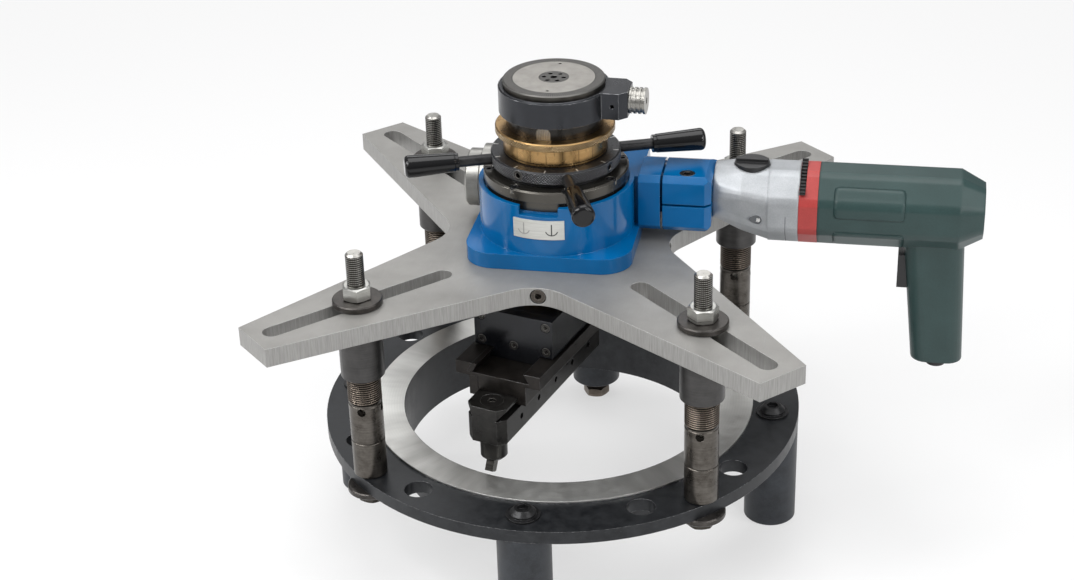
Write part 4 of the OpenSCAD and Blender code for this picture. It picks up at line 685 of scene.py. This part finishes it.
def thread(bm, degrees, radius, rise, pitch, low, high, steps):
    """A screw thread: a ridge wound up round the clamp bolt that stands at this angle."""
    sink, foot_share, crest_share = 0.0002, 0.45, 0.06
    turns = (high - low) / pitch
    count = round(turns * steps)
    section = ((radius - sink, -foot_share), (radius + rise, -crest_share),
               (radius + rise, crest_share), (radius - sink, foot_share))
    corners = [bm.verts.new((reach, 0, low + pitch * share)) for reach, share in section]
    bmesh.ops.spin(bm, geom=[bm.faces.new(corners)], cent=(0, 0, 0), axis=(0, 0, 1),
                   dvec=(0, 0, (high - low) / count), angle=2 * math.pi * turns, steps=count, use_merge=False)
    turn = math.radians(degrees)
    bolt = Vector((math.cos(turn), math.sin(turn), 0)) * CLAMP_RADIUS
    wound = [vert for vert in bm.verts if not vert.tag]
    bmesh.ops.translate(bm, verts=wound, vec=bolt)
    for vert in wound:
        vert.tag = True


def rod_threads():
    """The threads of the four clamp bolts, above their nuts."""
    bm = bmesh.new()
    for degrees in range(45, 360, 90):
        thread(bm, degrees, radius=0.0080, rise=0.00008, pitch=0.0020, low=NUT_TOP + 0.0010,
               high=BOLT_TOP - 0.0024, steps=28)
    piece("rod_threads", bm, rod_zinc, "stand")


def column_threads():
    """The threads of the four adjusters, each riding on its own."""
    for key, degrees in {"fl": 225, "fr": 315, "rr": 45, "rl": 135}.items():
        bm = bmesh.new()
        thread(bm, degrees, radius=0.0148, rise=0.00075, pitch=0.0022, low=SLEEVE_TOP - 0.0568,
               high=SLEEVE_TOP - 0.0020, steps=36)
        piece("column_thread_" + key, bm, sleeve_steel, "adjuster_" + key)


def block(bm, low, high, place):
    """A block between two corners, then moved by a matrix."""
    size = Vector(high) - Vector(low)
    middle = (Vector(high) + Vector(low)) / 2
    shape = Matrix.Translation(middle) @ Matrix.Diagonal((*size, 1))
    bmesh.ops.create_cube(bm, size=1.0, matrix=place @ shape)


def vent_ribs():
    """A black sheet and ribs in the notch of the band, drawn black as painted shade in the vent."""
    tilt = math.radians(22)
    half_width, rib_pitch, half_rib = 0.0232, 0.0042, 0.0007
    place = Matrix.Translation((CASE_END, *MOTOR_AXIS)) @ Matrix.Rotation(tilt, 4, "X")
    bm = bmesh.new()
    block(bm, (0.0002, -half_width, 0.0328), (0.0058, half_width, 0.0334), place)
    for step in range(-5, 6):
        across = step * rib_pitch
        block(bm, (0.0003, across - half_rib, 0.0330), (0.0057, across + half_rib, 0.0349), place)
    piece("vent_grille", bm, vent_painted_shade, "machine")


def front_surface(name, x, z):
    """Y of a part's front side at a given place."""
    before_all = -0.3
    return parts[name].ray_cast(Vector((x, before_all, z)), Vector((0, 1, 0)))[1].y


def raised_panel(name, low, high):
    """A panel with rounded corners on the motor housing's front, between two heights from its axis."""
    margin, length = 0.0136, 0.0665
    corner, rise, sink, thickness = 0.005, 0.0009, 0.0004, 0.0012
    columns, rows = 26, 22
    start = span("motor_housing", 0)[0] + margin
    middle = Vector((start + length / 2, MOTOR_AXIS[1] + (low + high) / 2))
    half = Vector((length / 2, (high - low) / 2))
    bm = bmesh.new()
    grid = {}
    for column in range(columns + 1):
        for row in range(rows + 1):
            spot = Vector(((column / columns * 2 - 1) * half.x, (row / rows * 2 - 1) * half.y))
            # Past the centre of a corner's arc, a square ring of the grid is drawn in to a round one
            past = Vector((max(abs(spot.x) - half.x + corner, 0), max(abs(spot.y) - half.y + corner, 0)))
            if past.length > 0:
                drawn = past * (1 - max(past) / past.length)
                spot -= Vector((math.copysign(drawn.x, spot.x), math.copysign(drawn.y, spot.y)))
            x, z = spot + middle
            on_border = column in (0, columns) or row in (0, rows)
            lift = -sink if on_border else rise
            grid[column, row] = bm.verts.new((x, front_surface("motor_housing", x, z) - lift, z))
    for column in range(columns):
        for row in range(rows):
            face = bm.faces.new([grid[column, row], grid[column + 1, row],
                                 grid[column + 1, row + 1], grid[column, row + 1]])
            face.smooth = True
    back = bmesh.ops.extrude_face_region(bm, geom=bm.faces[:])
    for vert in (v for v in back["geom"] if isinstance(v, bmesh.types.BMVert)):
        vert.co.y += thickness
    piece(name, bm, motor_green, "machine")


def case_recess():
    """The teardrop recess on the gear case: a raised rim, a dark sheet on the case as painted shade in the
    recess, and the bright pin in it.
    """
    x_middle, z_middle = CASE_END - 0.0377, MOTOR_AXIS[1] - 0.0050
    half_height, tail, points = 0.0046, 0.0030, 28
    rim_section = ((1.22, -0.0003), (1.16, 0.0006), (1.02, 0.0006), (0.96, -0.0003))

    def teardrop(bm, size, lift):
        """The recess's outline at a size, lifted off the case's front."""
        verts = []
        for point in range(points):
            turn = 2 * math.pi * point / points
            across = (half_height + tail * max(0.0, -math.cos(turn)) ** 3) * math.cos(turn)
            up = half_height * math.sin(turn)
            y = front_surface("gear_case", x_middle + across, z_middle + up) - lift
            verts.append(bm.verts.new((x_middle + across * size, y, z_middle + up * size)))
        return verts

    def wall(bm, outer, inner, smooth=False):
        """The faces between two outlines."""
        for index in range(points):
            after = (index + 1) % points
            bm.faces.new([outer[index], outer[after], inner[after], inner[index]]).smooth = smooth

    bm = bmesh.new()
    rim = [teardrop(bm, size, lift) for size, lift in rim_section]
    for outer, inner in zip(rim, rim[1:] + rim[:1]):
        wall(bm, outer, inner, smooth=True)
    piece("recess_rim", bm, case_metal, "machine")

    # A dark sheet on the case's front: painted shade where the recess is.
    bm = bmesh.new()
    floor, under = teardrop(bm, 1, 0.00025), teardrop(bm, 1, -0.0004)
    bm.faces.new(floor)
    bm.faces.new(under[::-1])
    wall(bm, floor, under)
    piece("recess_floor", bm, painted_recess_shade, "machine")

    bm = bmesh.new()
    y = front_surface("gear_case", x_middle - 0.0010, z_middle) - 0.0002
    axis = Matrix.Translation((x_middle + 0.0012, y, z_middle)) @ Matrix.Rotation(math.pi / 2, 4, "X")
    bmesh.ops.create_cone(bm, cap_ends=True, segments=32, radius1=0.0023, radius2=0.0020, depth=0.0022,
                          matrix=axis)
    piece("recess_pin", bm, pin_steel, "machine")


rod_threads()
column_threads()
vent_ribs()
raised_panel("upper_panel", 0.0005, 0.0280)
raised_panel("lower_panel", -0.0335, -0.0125)
case_recess()


def studio_floor():
    """White ground that glows to the camera as it gets farther, so that it runs into the backdrop."""
    floor_height = cad_box[0][2] - 0.0002
    glow_starts, glow_full = 0.9, 3.0
    mesh = bpy.data.meshes.new("floor")
    bm = bmesh.new()
    bmesh.ops.create_grid(bm, x_segments=1, y_segments=1, size=6.0)
    bmesh.ops.translate(bm, verts=bm.verts, vec=(0, 0, floor_height))
    bm.to_mesh(mesh)
    bm.free()
    floor = bpy.data.objects.new("floor", mesh)
    bpy.context.scene.collection.objects.link(floor)
    paint = Finish("floor_paint", (0.80, 0.80, 0.80), 0.9)
    glow = paint.node("ShaderNodeEmission", {}, (1, 1, 1, 1), 1.0)
    far = paint.levels(paint.away(), glow_starts, glow_full, 0.55, 0.97)
    to_camera = paint.node("ShaderNodeLightPath", output="Is Camera Ray") * far
    mirrored = paint.node("ShaderNodeLightPath", output="Is Glossy Ray") * 0.55
    plain = Value(paint, paint.shader.outputs["BSDF"])
    mixed = paint.node("ShaderNodeMixShader", {}, to_camera.maths("MAXIMUM", mirrored), plain, glow)
    paint.tree.links.new(mixed.socket, paint.tree.nodes["Material Output"].inputs["Surface"])
    mesh.materials.append(paint.material)


def studio_world():
    """White behind the machine, and for its lighting a grey that gets paler towards the zenith."""
    world = bpy.data.worlds.new("studio")
    bpy.context.scene.world = world
    world.use_nodes = True
    sky = Nodes(world.node_tree)
    seen = sky.node("ShaderNodeLightPath", output="Is Camera Ray")
    seen = seen.maths("MAXIMUM", sky.node("ShaderNodeLightPath", output="Is Transmission Ray"))
    place = sky.node("ShaderNodeTexCoord", output="Generated")
    height = sky.levels(sky.node("ShaderNodeSeparateXYZ", {}, place, output="Z"), -0.2, 1.0)
    stops = [(0.0, (0.20, 0.20, 0.202, 1)), (0.35, (0.27, 0.27, 0.275, 1)), (1.0, (0.60, 0.60, 0.606, 1))]
    light = sky.node("ShaderNodeValToRGB", {"stops": stops}, height)
    sky.tree.links.new(sky.blend(seen, light, 1).socket, sky.tree.nodes["Background"].inputs["Color"])


def lamp(name, place, aim, size, power):
    """A rectangular lamp that faces the place it is aimed at."""
    light = bpy.data.lights.new(name, "AREA")
    light.shape = "RECTANGLE"
    light.size, light.size_y = size
    light.energy = power
    made = bpy.data.objects.new(name, light)
    made.location = place
    made.rotation_euler = (Vector(aim) - Vector(place)).to_track_quat("-Z", "Y").to_euler()
    bpy.context.scene.collection.objects.link(made)


def camera():
    """The photo's own view, as it was fitted to the flange."""
    seat = Vector((0.313069, -1.669885, 1.023785))
    azimuth, lift, roll = (math.radians(a) for a in (-11.3392, 28.0177, -1.8521))
    focal_pixels, photo_width, sensor_width = 2021.5, 1074, 36
    ahead = Vector((math.sin(azimuth) * math.cos(lift), math.cos(azimuth) * math.cos(lift), -math.sin(lift)))
    right = Vector((math.cos(azimuth), -math.sin(azimuth), 0))
    up = right.cross(ahead)
    turned = right * math.cos(roll) + up * math.sin(roll)
    upright = up * math.cos(roll) - right * math.sin(roll)
    eye = bpy.data.cameras.new("camera")
    eye.sensor_width = sensor_width
    eye.lens = focal_pixels / photo_width * sensor_width
    made = bpy.data.objects.new("camera", eye)
    made.matrix_world = Matrix.Translation(seat) @ Matrix((turned, upright, -ahead)).transposed().to_4x4()
    bpy.context.scene.collection.objects.link(made)
    bpy.context.scene.camera = made


studio_floor()
studio_world()
lamp("key", place=(-1.1, -1.3, 1.9), aim=(0, 0, 0.15), size=(1.2, 1.0), power=30)
lamp("side", place=(1.8, -0.6, 1.2), aim=(0, 0, 0.15), size=(0.7, 1.4), power=12)
lamp("back", place=(-0.4, 1.8, 1.6), aim=(0, 0, 0.2), size=(1.6, 0.6), power=7)
lamp("top", place=(0.2, 0.1, 2.2), aim=(0, 0, 0.1), size=(1.6, 1.6), power=22)
lamp("left_strip", place=(-1.5, -0.5, 0.9), aim=(0, 0, 0.2), size=(0.10, 1.3), power=9)
lamp("right_strip", place=(1.2, -1.3, 0.9), aim=(0, 0, 0.2), size=(0.08, 1.3), power=7)
camera()
bpy.context.scene.view_settings.view_transform = "Standard"
